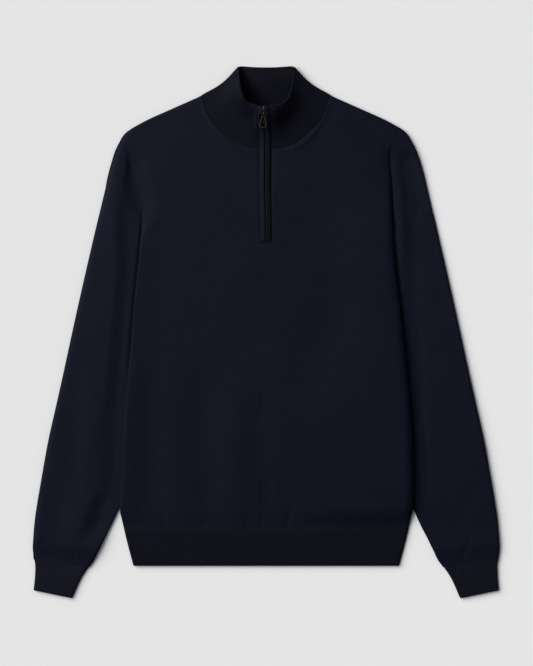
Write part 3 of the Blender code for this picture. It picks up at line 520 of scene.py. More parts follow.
def sleeve_heights(side, x, y):
    """Heights of a sleeve's, or a cuff's, upper and lower outer faces."""
    lay = lays[side]
    to_inside, level = sleeve_insides[side].nearest(x, y)
    to_outside = outer_edge.nearest(x, y)[0]
    margin = 1.0 - ease((y - lay.margin_start) / lay.margin_blend)
    margin = margin * ease((y - MARGIN_END) / MARGIN_FADE)
    seam_y = mix(CUFF_SEAM_INNER, CUFF_SEAM_OUTER, (x - CUFF_SEAM_X[0]) / (CUFF_SEAM_X[1] - CUFF_SEAM_X[0]))
    cuff = ease((seam_y + CUFF_STEP - y) / CUFF_STEP)
    full = mix(mix(CHEST_TOP, lay.sleeve_top, ease((to_outside + to_inside) / ARM_WIDTH)), CUFF_TOP, cuff)
    flat = 1.0 - ease((to_inside - lay.margin_reach) / lay.margin_slope)
    full = full + (lay.margin_top - full) * margin * flat
    dip = 1.0 - ease((x - body_edges[side].x_at(y) - lay.dip_reach) / lay.dip_slope)
    dip = dip * ease((y - lay.dip_end) / DIP_FADE + 1.0)
    full = full + (np.minimum(lay.dip_top, full) - full) * margin * dip
    sewn = sewn_share(y)
    fold = mix(MARGIN_TOP / 2, full / 2, 1.0 - margin)
    reach = mix(mix(FOLD_ROUND, MARGIN_ROUND, margin), height_at(lay.sleeve_round, y),
                ease((y - SEWN_LOW) / SEWN_REACH))
    rise = ease((to_inside - lay.sleeve_flat * sewn) / reach)
    rounding = mix(round_off(to_inside / reach), rise, lay.sleeve_soft * sewn)
    top = mix(mix(fold, height_at(lay.seam, level), sewn), full, rounding)
    bottom = mix(mix(fold, 0.0, sewn), 0.0, round_off(to_inside / FOLD_ROUND))
    rounding = round_off(to_outside / lay.outer_round)
    return mix(full / 2, top, rounding), mix(full / 2, bottom, round_off(to_outside / FOLD_ROUND))


def front_profile(y):
    """Height of the outer face along the zip: the front up to the collar's seam, then the collar."""
    y = np.asarray(y, float)
    seam_y = NECK_FRONT[0].y
    low = np.minimum(y, seam_y)
    seam_height = body_heights(zip_x(low), low)[0]
    climb = on_curve(collar_rise, (y - seam_y) / (RIM_FRONT[0].y - seam_y))
    return np.where(y <= seam_y, seam_height, mix(seam_height, RIM_FRONT[0].z, climb))


# ---- meshes
Sheet = namedtuple("Sheet", "points faces marks")    # marks: each face corner's place in the knit, mm
EDGE_STEPS = np.array((0.0, 0.12, 0.35, 0.7, 1.2, 1.9, 2.8, 3.9, 5.2))    # rows crowd so near an edge


def unit(ways):
    return ways / np.maximum(np.linalg.norm(ways, axis=-1, keepdims=True), 1e-12)


def grid(points, marks, wrap=False, flip=False, gap=None):
    """A sheet through rows of points; marks has one column more where the rows close up."""
    rows, columns = points.shape[:2]
    j, i = np.meshgrid(np.arange(rows - 1), np.arange(columns if wrap else columns - 1), indexing="ij")
    if gap is not None:
        keep = ~gap(j, i)
        j, i = j[keep], i[keep]
    j, i = j.ravel(), i.ravel()
    k = (i + 1) % columns
    low, high = j * columns, (j + 1) * columns
    faces = np.stack((low + i, low + k, high + k, high + i), axis=-1)
    corners = np.stack((marks[j, i], marks[j, i + 1], marks[j + 1, i + 1], marks[j + 1, i]), axis=1)
    if flip:
        faces, corners = faces[:, ::-1], corners[:, ::-1]
    used, faces = np.unique(faces, return_inverse=True)
    return Sheet(points.reshape(-1, 3)[used], faces.reshape(-1, 4), corners)


def normals(points, faces):
    a, b, c, d = (points[faces[:, n]] for n in range(4))
    ways = np.cross(c - a, d - b)
    total = np.zeros_like(points)
    for n in range(4):
        np.add.at(total, faces[:, n], ways)
    return unit(total)


def thicken(sheet, wall, ribs=0.0):
    """Closes a sheet into cloth with rounded edges; points are the outer face, ribs swell both faces."""
    points, faces, marks = sheet
    out = normals(points, faces)
    half = (wall / 2 + ribs * np.ones(len(points)))[:, None]
    middle = points - out * wall / 2
    count = len(points)
    starts, ends = faces.ravel(), np.roll(faces, -1, axis=1).ravel()
    names = np.minimum(starts, ends) * count + np.maximum(starts, ends)
    _, inverse, uses = np.unique(names, return_inverse=True, return_counts=True)
    free = np.flatnonzero(uses[inverse.ravel()] == 1)
    starts, ends = starts[free], ends[free]
    beyond = unit(np.cross(points[ends] - points[starts], out[starts]))
    way = np.zeros_like(points)
    np.add.at(way, starts, beyond)
    np.add.at(way, ends, beyond)
    way = unit(way)
    rim = np.unique(starts)
    place = np.zeros(count, int)
    place[rim] = np.arange(len(rim))
    layers = []
    for n in range(1, RIM_STEPS + 1):
        angle = math.pi * n / (RIM_STEPS + 1)
        layers.append(middle[rim] + half[rim] * (math.cos(angle) * out[rim] + math.sin(angle) * way[rim]))
    solid = np.vstack([middle + out * half, middle - out * half] + layers)
    chain_start, chain_end = (
        [ring] + [2 * count + n * len(rim) + place[ring] for n in range(RIM_STEPS)] + [ring + count]
        for ring in (starts, ends))
    flat = marks.reshape(-1, 2)
    mark_start = flat[free]
    mark_end = np.roll(marks, -1, axis=1).reshape(-1, 2)[free]
    all_faces = [faces, faces[:, ::-1] + count]
    all_marks = [marks, marks[:, ::-1]]
    for n in range(RIM_STEPS + 1):
        corners = (chain_end[n], chain_start[n], chain_start[n + 1], chain_end[n + 1])
        all_faces.append(np.stack(corners, axis=-1))
        all_marks.append(np.stack((mark_end, mark_start, mark_start, mark_end), axis=1))
    return Sheet(solid, np.vstack(all_faces), np.vstack(all_marks))


def add_object(name, data):
    made = bpy.data.objects.new(name, data)
    bpy.context.scene.collection.objects.link(made)
    return made


def add_piece(name, sheet, finish):
    """An object from a sheet in millimetres; it rides on the garment."""
    mesh = bpy.data.meshes.new(name)
    mesh.from_pydata((sheet.points * MM).tolist(), [], sheet.faces.tolist())
    layer = mesh.uv_layers.new(name="knit")
    layer.uv.foreach_set("vector", (sheet.marks * MM).ravel())
    mesh.materials.append(finish)
    mesh.shade_smooth()
    piece = add_object(name, mesh)
    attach(piece, "garment")
    return piece


def lengths(points, axis):
    """Running length of rows of points along an axis."""
    step = np.linalg.norm(np.diff(points, axis=axis), axis=-1)
    start = np.zeros_like(np.take(step, [0], axis=axis))
    return np.concatenate((start, np.cumsum(step, axis=axis)), axis=axis)


def crossed(across, along):
    """Marks of rows and columns from one row's and one column's."""
    return np.stack(np.meshgrid(across, along), axis=-1)


def closer_at_ends(reach, pitch):
    """Shares from 0 to 1, crowded at both ends, for a strip that is reach wide."""
    ends = EDGE_STEPS / reach
    inner = np.linspace(ends[-1], 1.0 - ends[-1], max(int((reach - 2 * ends[-1] * reach) / pitch), 4) + 1)
    return np.concatenate((ends[:-1], inner, 1.0 - ends[-2::-1]))


# ---- body
BODY_PITCH = 2.7      # between the columns of the front, and of the back
BACK_PITCH = 4.5
UPPER_REACH = 165.0   # about how far it is from the slit's foot up to the shoulder
HALF_REACH = 195.0    # and from the middle out to the side
HEM_STEPS = (1.0, 2.0, 3.6, 5.4)    # above the hem's seam, where rows crowd
NECK_SHARE = 0.5      # share of the columns that end on the neck; the rest end on the shoulder
SLIT_COLUMNS = 6
CALM_EDGE = 9.0       # how far in from an edge, and up from the hem's seam, a swell has its full height
CALM_HEM = 6.0
CREASE_EDGE = 5.0     # the same for a crease, in from an edge


def panel_levels(pitch):
    """Levels up to the slit's foot, then shares of the way from there to the neck or the shoulder."""
    lower = np.linspace(HEM_SEAM + SEAM / 2, SLIT_BOTTOM, int((SLIT_BOTTOM - HEM_SEAM) / pitch) + 1)
    lower = np.sort(np.concatenate((lower, HEM_SEAM + np.array(HEM_STEPS))))
    near_top = EDGE_STEPS[::-1] / UPPER_REACH
    steps = int((UPPER_REACH - EDGE_STEPS[-1]) / pitch)
    upper = np.concatenate((np.linspace(0.0, 1.0 - near_top[0], steps + 1)[1:], 1.0 - near_top[1:]))
    return lower, upper


def panel_columns(pitch):
    """Shares across a half panel, 0 at the middle and 1 at the side, crowded at the side's fold."""
    ends = 1.0 - EDGE_STEPS[::-1] / HALF_REACH
    return np.concatenate((np.linspace(0.0, ends[0], int(HALF_REACH / pitch) + 1)[:-1], ends))


def panel_plan(u, side, inner_low, inner_top, neck, pitch):
    """Plan of a half panel: rows from hem to neck or shoulder, columns from the middle to the side."""
    body_edge = body_edges[side]
    lower, upper = panel_levels(pitch)
    start = neck.share_at_x(inner_top)
    on_neck_line = neck.at(mix(start, 1.0, np.minimum(u / NECK_SHARE, 1.0)), left=-NECK_SEAM / 2)
    on_shoulder = shoulder.at(np.clip((u - NECK_SHARE) / (1.0 - NECK_SHARE), 0.0, 1.0))
    top = np.where(u[:, None] <= NECK_SHARE, on_neck_line, on_shoulder)
    low_x = mix(inner_low, body_edge.x_at(lower)[:, None], u[None, :])
    low_y = np.repeat(lower[:, None], len(u), axis=1)
    side_y = mix(SLIT_BOTTOM, SHOULDER_TIP.y, upper)
    inset = body_edge.x_at(side_y) - mix(body_edge.x_at(SLIT_BOTTOM), SHOULDER_TIP.x, upper)
    inset = inset - np.where(side_y > UNDERARM, SEAM / 2, 0.0)
    v = upper[:, None]
    high_x = mix(low_x[-1][None, :], top[None, :, 0], v) + inset[:, None] * u[None, :] ** 3
    high_y = mix(SLIT_BOTTOM, top[None, :, 1], v)
    return np.vstack((low_x, high_x)), np.vstack((low_y, high_y))


def half_panel(u, side, inner_low, inner_top, neck, pitch, face, creases):
    """Points of a half panel; face picks the front's heights, 0, or the back's, 1."""
    x, y = panel_plan(u, side, inner_low, inner_top, neck, pitch)
    z = body_heights(side * x, y)[face]
    to_edge = body_edges[side].nearest(x, y)[0]
    calm = ease(to_edge / CALM_EDGE) * ease((y - HEM_SEAM) / CALM_HEM)
    calm = calm * ease(shoulder.nearest(x, y)[0] / CALM_EDGE)
    if face == 0:
        z = z + relief(creases, side * x, y) * ease(to_edge / CREASE_EDGE)
        z = z + swell(side * x, y, *FRONT_SWELL) * calm
    else:
        z = z + np.maximum(relief(creases, side * x, y) + swell(side * x, y, *BACK_SWELL), 0.0) * calm
    points = np.stack((side * x, y, z), axis=-1)
    shift = (SEAM / 2) * (1 if face == 0 else -1)
    sewn = sewn_share(y[:, -1])
    near, edge = points[:, -2].copy(), points[:, -1].copy()
    points[:, -2, :2] = edge[:, :2] + (near[:, :2] - edge[:, :2]) * sewn[:, None]
    points[:, -1, 2] += shift * (1.0 - sewn)
    last = u >= NECK_SHARE
    near, edge = points[-2, last].copy(), points[-1, last].copy()
    points[-2, last, :2] = edge[:, :2]
    points[-1, last, 2] += shift
    return points


def make_front(finish):
    """The front, with the slit that the zip is sewn into."""
    u = panel_columns(BODY_PITCH)
    halves = {}
    for side in SIDES.values():
        halves[side] = half_panel(u, side, slit_edge(side, SLIT_BOTTOM), slit_edge(side, NECK_FRONT[0].y),
                                  neck_front, BODY_PITCH, 0, FRONT_CREASES)
    right, left = halves[-1][:, ::-1], halves[1]
    share = (np.arange(1, SLIT_COLUMNS + 1) / (SLIT_COLUMNS + 1))[None, :, None]
    middle = mix(right[:, -1:], left[:, :1], share)
    heights = body_heights(middle[..., 0], middle[..., 1])[0]
    middle[..., 2] = np.where(middle[..., 1] <= SLIT_BOTTOM, heights, middle[..., 2])
    middle[..., 2] += relief(FRONT_CREASES, middle[..., 0], middle[..., 1])
    points = np.concatenate((right, middle, left), axis=1)
    first = len(u) - 1
    slit_row = len(panel_levels(BODY_PITCH)[0]) - 1
    sheet = grid(points, points[..., :2],
                 gap=lambda j, i: (i >= first) & (i <= first + SLIT_COLUMNS) & (j >= slit_row))
    return add_piece("front_knit", thicken(sheet, WALL), finish)


def make_back(finish):
    u = panel_columns(BACK_PITCH)
    left = half_panel(u, 1, 0.0, 0.0, neck_back, BACK_PITCH, 1, BACK_CREASES)
    right = half_panel(u, -1, 0.0, 0.0, neck_back, BACK_PITCH, 1, BACK_CREASES)
    points = np.concatenate((right[:, :0:-1], left), axis=1)
    solid = thicken(grid(points, points[..., :2], flip=True), WALL)
    return add_piece("back_knit", solid, finish)


# ---- tubes: hem, sleeves, cuffs
RIB_COLUMNS = 4       # mesh columns to each rib
HEM_ROWS = 14
HEM_WIDTH = 400.0     # of the laid band; its half girth gives the count of ribs
HEM_PITCH = 4.0
HEM_HALF_GIRTH = 412.0
OUTER_INSET = 0.3     # the knit's outer fold inside the outline
RING_TURN = 0.3       # share of the sleeve over which its rings lose the armhole's curve
RING_FREE = 0.1       # share over which they keep clear of the body
RING_LAG = 1.35       # the rings start close together along the inner edge
RING_SHARES = np.concatenate(((0.0, 0.0006, 0.0015, 0.003, 0.005, 0.0075), np.linspace(0.0105, 0.985, 205),
                              (0.9885, 0.992, 0.995, 0.998, 1.0)))
SLEEVE_WIDTH = 125.0
SLEEVE_PITCH = 2.9
SLEEVE_CALM = 7.0     # how far in from a fold a swell has its full height, and a crease
SLEEVE_CREASE_EDGE = 4.0
SLEEVE_CALM_END = 0.012      # the swell's at the cuff, as a share of the sleeve
SLEEVE_AIR = 0.2      # least air between its two layers
CUFF_ROWS = 16
CUFF_WIDTH = 68.0
CUFF_PITCH = 2.0
CUFF_CLOSE = 0.995    # the knit ends this share of the way down the cuff's outline


def evened(ring, columns):
    """Each closed ring's points, moved to equal steps of its length."""
    closed = np.concatenate((ring, ring[:, :1]), axis=1)
    reach = lengths(closed, 1)
    shares = np.arange(columns) / columns
    return np.stack([points_on(line, run, shares * run[-1]) for line, run in zip(closed, reach)])


def ring_points(x, y, high, low, side=1):
    """Closed rings: the upper face along the plan, then back beneath."""
    upper = np.stack((side * x, y, high), axis=-1)
    lower = np.stack((side * x, y, low), axis=-1)
    for i in (0, -1):
        upper[:, i, 2] = (high[:, i] + low[:, i]) / 2
    return np.concatenate((upper, lower[:, -2:0:-1]), axis=1)


def ring_marks(points, flow):
    """Marks of closed rings: across by equal steps, along by the given running length."""
    closed = np.concatenate((points, points[:, :1]), axis=1)
    across = lengths(closed, 1)
    return crossed(across[len(across) // 2], flow)


def rib_wave(columns, rise):
    """Ribs as heights round a ring."""
    return rise * np.cos(np.arange(columns) * math.tau / RIB_COLUMNS)


def add_ribbed(name, points, flow, flip, finish):
    """A ribbed tube from rings whose columns count up in ribs."""
    rows, columns = points.shape[:2]
    sheet = grid(points, ring_marks(points, flow), wrap=True, flip=flip)
    solid = thicken(sheet, RIB_WALL, np.tile(rib_wave(columns, RIB_RISE), rows))
    return add_piece(name, solid, finish)


def run_along(points, column):
    """Running length down one column of rings."""
    return lengths(points[:, column:column + 1], 0)[:, 0]


def make_hem(finish):
    """The rib band, one tube round the hem."""
    y = np.linspace(HEM_SEAM - SEAM / 2, HEM_END + RIB_WALL * 0.2, HEM_ROWS)
    reach = body_edges[1].x_at(y)
    half = closer_at_ends(HEM_WIDTH, HEM_PITCH)
    x = reach[:, None] * (half[None] * 2 - 1)
    y = np.repeat(y[:, None], x.shape[1], axis=1)
    high, low = body_heights(x, y)
    ribs = int(2 * HEM_HALF_GIRTH / RIB_PITCH)
    points = evened(ring_points(x, y, high, low), ribs * RIB_COLUMNS)
    return add_ribbed("hem_knit", points, -points[:, 0, 1], True, finish)


def sleeve_plan(side, outer_share, inner_share, bend, gap, columns):
    """Plan of rings across a sleeve, from its inner edge to its outer one."""
    start = inner_edges[side].at(inner_share)[:, None]
    end = outer_edge.at(outer_share, left=-OUTER_INSET)[:, None]
    armhole = armholes[side]
    line = armhole.at(columns)
    foot, tip = armhole.at(0.0), armhole.at(1.0)
    bow = line - (foot + (tip - foot) * columns[:, None])
    plan = start + (end - start) * columns[None, :, None] + bow[None] * bend[:, None, None]
    return plan[..., 0] + gap[:, None], plan[..., 1]


def make_sleeve(name, side, finish):
    """A flattened tube whose rings turn from the armhole's seam to lie across the arm."""
    outer_end = outer_edge.share_at_y(CUFF_SEAM_OUTER + CUFF_SEAM / 2)
    inner_end = inner_edges[side].share_at_y(CUFF_SEAM_INNER + CUFF_SEAM / 2)
    t = RING_SHARES
    bend = 1.0 - ease(t / RING_TURN)
    gap = SEAM / 2 * (bend + 1.0 - ease((t - RING_FREE) / RING_FREE))
    columns = closer_at_ends(SLEEVE_WIDTH, SLEEVE_PITCH)
    x, y = sleeve_plan(side, outer_end * t, inner_end * t ** RING_LAG, bend, gap, columns)
    high, low = sleeve_heights(side, x, y)
    inside = sleeve_insides[side].nearest(x, y)[0]
    outside = outer_edge.nearest(x, y)[0]
    calm = ease(inside / SLEEVE_CALM) * ease(outside / SLEEVE_CALM)
    calm = calm * ease((1.0 - t) / SLEEVE_CALM_END)[:, None]
    dents = relief(SLEEVE_CREASES[name], x, y)
    high = high + dents * ease(inside / SLEEVE_CREASE_EDGE) * ease(outside / SLEEVE_CREASE_EDGE)
    high = high + swell(x, y, *SLEEVE_SWELLS[side]) * calm
    low = low + np.maximum(swell(x, y, *UNDER_SWELLS[side]), 0.0) * calm
    high = np.maximum(high, low + 2 * WALL + SLEEVE_AIR)
    points = ring_points(x, y, high, low, side)
    flow = run_along(points, len(columns) // 2)
    sheet = grid(points, ring_marks(points, flow), wrap=True, flip=side > 0)
    return add_piece("sleeve_knit_" + name, thicken(sheet, WALL), finish)


def make_cuff(name, side, finish):
    outer_start = outer_edge.share_at_y(CUFF_SEAM_OUTER - CUFF_SEAM / 2)
    inner_start = inner_edges[side].share_at_y(CUFF_SEAM_INNER - CUFF_SEAM / 2)
    t = np.linspace(0.0, CUFF_CLOSE, CUFF_ROWS)
    columns = closer_at_ends(CUFF_WIDTH, CUFF_PITCH)
    x, y = sleeve_plan(side, mix(outer_start, 1.0, t), mix(inner_start, 1.0, t), 0.0 * t, 0.0 * t, columns)
    high, low = sleeve_heights(side, x, y)
    high = high + relief(CUFF_CREASES[name], x, y)
    ribs = int(2 * CUFF_WIDTH / RIB_PITCH)
    points = evened(ring_points(x, y, high, low, side), ribs * RIB_COLUMNS)
    return add_ribbed("cuff_knit_" + name, points, run_along(points, ribs), side > 0, finish)


# ---- collar
NECK_BOW = 4.1        # how far the neck's outline bows in between seam and edge
NECK_BOW_SHAPE = 1.3
NECK_BOW_WAY = (-0.616, -0.788)
RIM_SAG = {   # share of the edge's height that each side loses, from the zip to the corner
    1: ((0, 0), (0.12, 0.03), (0.3, 0.14), (0.5, 0.24), (0.75, 0.38), (0.9, 0.34), (1, 0)),
    -1: ((0, 0), (0.12, 0), (0.4, -0.24), (0.65, -0.3), (0.85, -0.12), (1, 0)),
}
ZIP_HOLD = 0.36       # share of the front over which the cloth leaves the zip's own slope
CORNER_CLIMB = 0.9    # how much of the front's own climb is gone at the corner
COLLAR_LEVELS = np.concatenate((np.linspace(0.0, 0.89, 34),
                                (0.905, 0.918, 0.93, 0.942, 0.954, 0.966, 0.978, 0.99, 1.0)))
ROLL_LEVEL = 0.934    # the collar's edge is a roll; a groove beneath it
ROLL_GROOVE = 0.32
ROLL_WIDTH = 0.012
ROLL_RIBS = 0.02      # the ribs fade over this share, on the roll
DENT_EDGES = (0.22, 0.2)     # shares over which a crease fades at the collar's edge, and at its seam
DENT_ZIP = (13.0, 6.0)       # it starts this far from the middle, and takes so far to its full height
FRONT_RIBS = 45
BACK_RIBS = 30
BACK_BOW = 3.8        # how far the back of the neck bows up, and how near its edge it does
BACK_BOW_SHAPE = 1.9


def collar_edges(side, front, back):
    """Half the collar's seam and its top edge, from the zip to the centre back."""
    low = neck_front.share_at_x(slit_edge(side, NECK_FRONT[0].y))
    top = rim_front.share_at_x(slit_edge(side, ZIP_TOP))
    foot = np.vstack((neck_front.at(mix(low, 1.0, front), left=NECK_SEAM / 2),
                      neck_back.at(back, left=NECK_SEAM / 2)))
    faces = body_heights(side * foot[:, 0], foot[:, 1])
    foot = np.column_stack((foot, np.where(np.arange(len(foot)) < len(front), *faces)))
    head = np.vstack((rim_front.at(mix(top, 1.0, front)), rim_back.at(back)))
    head[:len(front), 2] *= 1.0 - on_curve(smooth(RIM_SAG[side]), front)
    return foot, head


def collar_half(side):
    """Points of half the collar: rows from seam to edge, columns from the zip to the centre back."""
    front = np.arange(FRONT_RIBS * RIB_COLUMNS) / (FRONT_RIBS * RIB_COLUMNS)
    back = 1.0 - np.arange(BACK_RIBS * RIB_COLUMNS + 1) / (BACK_RIBS * RIB_COLUMNS)
    foot, head = collar_edges(side, front, back)
    nothing = 0.0 * back
    up = COLLAR_LEVELS[:, None]
    leave = ease(np.concatenate((front, 1.0 + nothing)) / ZIP_HOLD)
    rise = mix(on_curve(collar_rise, up), on_curve(free_rise[side], up), leave)
    climb = mix(up, rise, np.concatenate((1.0 - CORNER_CLIMB * front ** 2, nothing)))
    bow = NECK_BOW * np.sin(math.pi * up) ** NECK_BOW_SHAPE * np.concatenate((front, back)) ** 3
    x = mix(foot[:, 0], head[:, 0], up) + NECK_BOW_WAY[0] * bow
    y = mix(foot[:, 1], head[:, 1], up) + NECK_BOW_WAY[1] * bow
    z = np.maximum(mix(foot[:, 2], head[:, 2], climb), 0.0)
    bulge = BACK_BOW * np.sin(math.pi * up ** BACK_BOW_SHAPE)
    z = z + bulge * np.concatenate((0.0 * front, 1.0 - back ** 2))
    dent = relief(COLLAR_CREASES, side * x, y) * (np.arange(len(foot)) < len(front))
    dent = dent * ease((1.0 - up) / DENT_EDGES[0]) * ease(up / DENT_EDGES[1])
    z = z + dent * ease((np.abs(x) - DENT_ZIP[0]) / DENT_ZIP[1])
    return np.stack((side * x, y, z), axis=-1)


def make_collar(finish):
    """The standing collar, one strip from the zip round the back of the neck to the zip."""
    left, right = collar_half(1), collar_half(-1)
    points = np.concatenate((left, right[:, -2::-1]), axis=1)
    across = lengths(points, 1)[len(points) // 2]
    marks = crossed(across, run_along(points, 0))
    fade = ease((1.0 - COLLAR_LEVELS) / ROLL_RIBS + 0.4)
    ribs = rib_wave(points.shape[1], COLLAR_RIB_RISE)[None] * fade[:, None]
    ribs = ribs - ROLL_GROOVE * np.exp(-((COLLAR_LEVELS - ROLL_LEVEL) / ROLL_WIDTH) ** 2)[:, None]
    solid = thicken(grid(points, marks), COLLAR_WALL, ribs.ravel())
    return add_piece("collar_knit", solid, finish)


# ---- seams
STITCH = 1.55                 # pitch of the linking chain
STITCH_SIZE = (1.7, 0.7, 0.5)    # long, wide and high
STITCH_SINK = 0.3             # its middle under the cloth's face
STITCH_SIDES = 6
STITCH_RINGS = ((-0.5, 0.25), (-0.2, 0.95), (0.2, 0.95), (0.5, 0.25))    # shares of its length and girth
STITCH_AHEAD = 0.4            # a stitch points to the line's place this far on
SEAM_LEVEL = 190.0            # the armhole's chain starts here; below it the body's edge covers the seam
ARM_CHAIN_END = 0.97          # share of the armhole's length where it stops
CUFF_CHAIN = (0.03, 0.97, 60)    # shares of the cuff's width, and points
HEM_CHAIN_INSET = 1.5


def add_chain(name, lines, finish):
    """A row of linking stitches along each line, each a small grain that overlaps the next."""
    turn = np.arange(STITCH_SIDES) * math.tau / STITCH_SIDES
    long, wide, high = STITCH_SIZE
    grain = np.array([(share * long, math.cos(a) * size * wide / 2, math.sin(a) * size * high / 2)
                      for share, size in STITCH_RINGS for a in turn])
    ring = np.arange(STITCH_SIDES)
    faces = []
    for n in range(len(STITCH_RINGS) - 1):
        low, high = n * STITCH_SIDES + ring, (n + 1) * STITCH_SIDES + ring
        faces.append(np.stack((low, np.roll(low, -1), np.roll(high, -1), high), axis=-1)[:, ::-1])
    last = (len(STITCH_RINGS) - 1) * STITCH_SIDES
    faces.append(np.array(((0, 1, 2, 3), (0, 3, 4, 5))))
    faces.append(last + np.array(((3, 2, 1, 0), (5, 4, 3, 0))))
    faces = np.vstack(faces)
    made, all_faces = [], []
    for line in lines:
        reach = lengths(line, 0)
        places = np.arange(STITCH / 2, reach[-1], STITCH)
        middle = points_on(line, reach, places)
        ahead = unit(points_on(line, reach, places + STITCH_AHEAD) - middle)
        across = unit(np.cross((0.0, 0.0, 1.0), ahead))
        above = np.cross(ahead, across)
        for spot, way, side, top in zip(middle, ahead, across, above):
            all_faces.append(faces + len(made) * len(grain))
            made.append(spot + grain[:, :1] * way + grain[:, 1:2] * side + grain[:, 2:] * top)
    points = np.vstack(made)
    faces = np.vstack(all_faces)
    return add_piece(name, Sheet(points, faces, points[faces][..., :2]), finish)


def seam_lines(side, plan, heights):
    """A seam's lines on the upper and on the lower face, sunk into its groove."""
    sunk = (heights[0] - STITCH_SINK, heights[1] + STITCH_SINK)
    return [np.stack((side * plan[:, 0], plan[:, 1], z), axis=-1) for z in sunk]


def make_chains(neck_finish, finish):
    """The linking stitches that join the pieces, in the grooves between them."""
    share = np.linspace(0.0, 1.0, 90)
    neck, arms = [], []
    for name, side in SIDES.items():
        start = neck_front.share_at_x(slit_edge(side, NECK_FRONT[0].y))
        front, back = neck_front.at(mix(start, 1.0, share)), neck_back.at(share)
        neck.append(seam_lines(side, front, body_heights(side * front[:, 0], front[:, 1]))[0])
        neck.append(seam_lines(side, back, body_heights(side * back[:, 0], back[:, 1]))[1])
        armhole = armholes[side].at(share)
        armhole = armhole[(armhole[:, 1] > SEAM_LEVEL) & (share < ARM_CHAIN_END)]
        arms += seam_lines(side, armhole, half_heights(side, armhole[:, 0], armhole[:, 1]))
        inner = inner_edges[side].at(inner_edges[side].share_at_y(CUFF_SEAM_INNER))
        outer = outer_edge.at(outer_edge.share_at_y(CUFF_SEAM_OUTER))
        across = mix(inner, outer, np.linspace(*CUFF_CHAIN)[:, None])
        cuff = seam_lines(side, across, sleeve_heights(side, across[:, 0], across[:, 1]))
        add_chain("cuff_chain_" + name, cuff, finish)
    x = np.linspace(-1.0, 1.0, 200) * (SIDE[2].x - HEM_CHAIN_INSET)
    hem = np.stack((x, np.full(len(x), HEM_SEAM)), axis=-1)
    add_chain("hem_chain", seam_lines(1, hem, body_heights(hem[:, 0], hem[:, 1])), finish)
    add_chain("neck_chain", neck, neck_finish)
    add_chain("armhole_chain", arms, finish)


# ---- zip
ZIP_PITCH = 1.4
TACK_LEVELS = (130.9, 134.3)
TACK_HALF = 9.4
TACK_RISE = 0.55              # above the front's outer face
TACK_WALL = 0.7
TACK_STITCH = 1.1
TACK_GRID = (91, 9)
TACK_SAG = 0.6                # share of its rise lost at its ends
TACK_ARCH = 0.2
TACK_WAVE = 0.1
TOOTH = (2.0, 0.78, 1.7)      # across, along the zip, high
TOOTH_LAP = 0.35              # how far a closed tooth reaches past the middle
TOOTH_GAP = 0.25              # and how far an open one stays away from it
TOOTH_BEVEL = 0.18
TOOTH_CORNERS = 24            # of a bevelled block
TEETH_START = 1.5             # above the slit's foot
TEETH_STOP = 1.0              # below the zip's top
TOOTH_PAINTED_SHADE = 0.10             # painted shade: a closed tooth's colour, as a share of an open one's, standing in for the shade of the welts' groove
TEETH_SHADE_END = 2.0              # above the slider's middle, where the teeth's painted shade ends
WELT_RING = 1.5               # between the rings of a strip
TAPE_RING = 3.0


def strip(name, side, section, finish, start, stop, step):
    """A closed strip along the zip with the cross section that section(y) gives."""
    levels = np.linspace(start, stop, int((stop - start) / step) + 1)
    heights = front_profile(levels)
    rings = []
    for y, height in zip(levels, heights):
        x, z = np.array(section(y, side)).T
        rings.append(np.stack((zip_x(y) + side * x, np.full(len(x), y), height + z), axis=-1))
    points = np.array(rings)
    count = points.shape[1]
    across = np.arange(count + 1) * (WELT_OUTER / count) * SECTION_ROUND
    sheet = grid(points, crossed(across, levels), wrap=True, flip=side < 0)
    ends = np.vstack((points[0].mean(axis=0), points[-1].mean(axis=0)))
    solid = np.vstack((sheet.points, ends))
    faces, corners = [sheet.faces], [sheet.marks]
    total = len(sheet.points)
    for k, (base, flip) in enumerate(((0, side > 0), (total - count, side < 0))):
        i = np.arange(0, count, 2)
        ring = base + np.stack((i, (i + 1) % count, (i + 2) % count), axis=-1)
        fan = np.concatenate((ring, np.full((len(ring), 1), total + k)), axis=1)
        faces.append(fan[:, ::-1] if flip else fan)
        corners.append(np.zeros((len(fan), 4, 2)))
    return add_piece(name, Sheet(solid, np.vstack(faces), np.vstack(corners)), finish)


def tape_section(y, side):
    places = (TAPE_INNER, TAPE_MIDDLE, TAPE_OUTER)
    return [(x, TAPE_BOTTOM) for x in places] + [(x, TAPE_TOP) for x in reversed(places)]


def welt_section(y, side):
    """A knitted strip, raised at the zip; it steps back where the slider sits, and a little above it."""
    step = WELT_STEP if y < SLIDER_Y else WELT_STEP_ABOVE
    near = 1.0 - ease((abs(y - SLIDER_Y) - SLIDER_LENGTH / 2) / step)
    part = WELT_PARTING * math.exp(-((y - WELT_PARTING_AT[0]) / WELT_PARTING_AT[1]) ** 4)
    inner = mix(WELT_INNER + part, WELT_BY_SLIDER, near)
    if y > SLIDER_Y:
        inner = max(inner, WELT_ABOVE)
    made = [(inner, WELT_BOTTOM), (inner, 0.0), (inner + WELT_GROOVE * 0.8, 0.4)]
    made += [(inner + WELT_GROOVE + x, z) for x, z in WELT_SHOULDER]
    start = inner + WELT_GROOVE + WELT_FLAT
    for share in WELT_STEPS:
        drop = (WELT_TOP - WELT_FLANGE_TOPS[side]) * share ** WELT_SAGS[side]
        made.append((mix(start, WELT_FLANGE, share), WELT_TOP - drop))
    ditch = min(float(height_at(WELT_DITCHES, y)), WELT_FLANGE_TOPS[side])
    return made + [(WELT_FLANGE + WELT_DIP, ditch), (WELT_OUTER, ditch - 0.1), (WELT_OUTER, WELT_BOTTOM)]


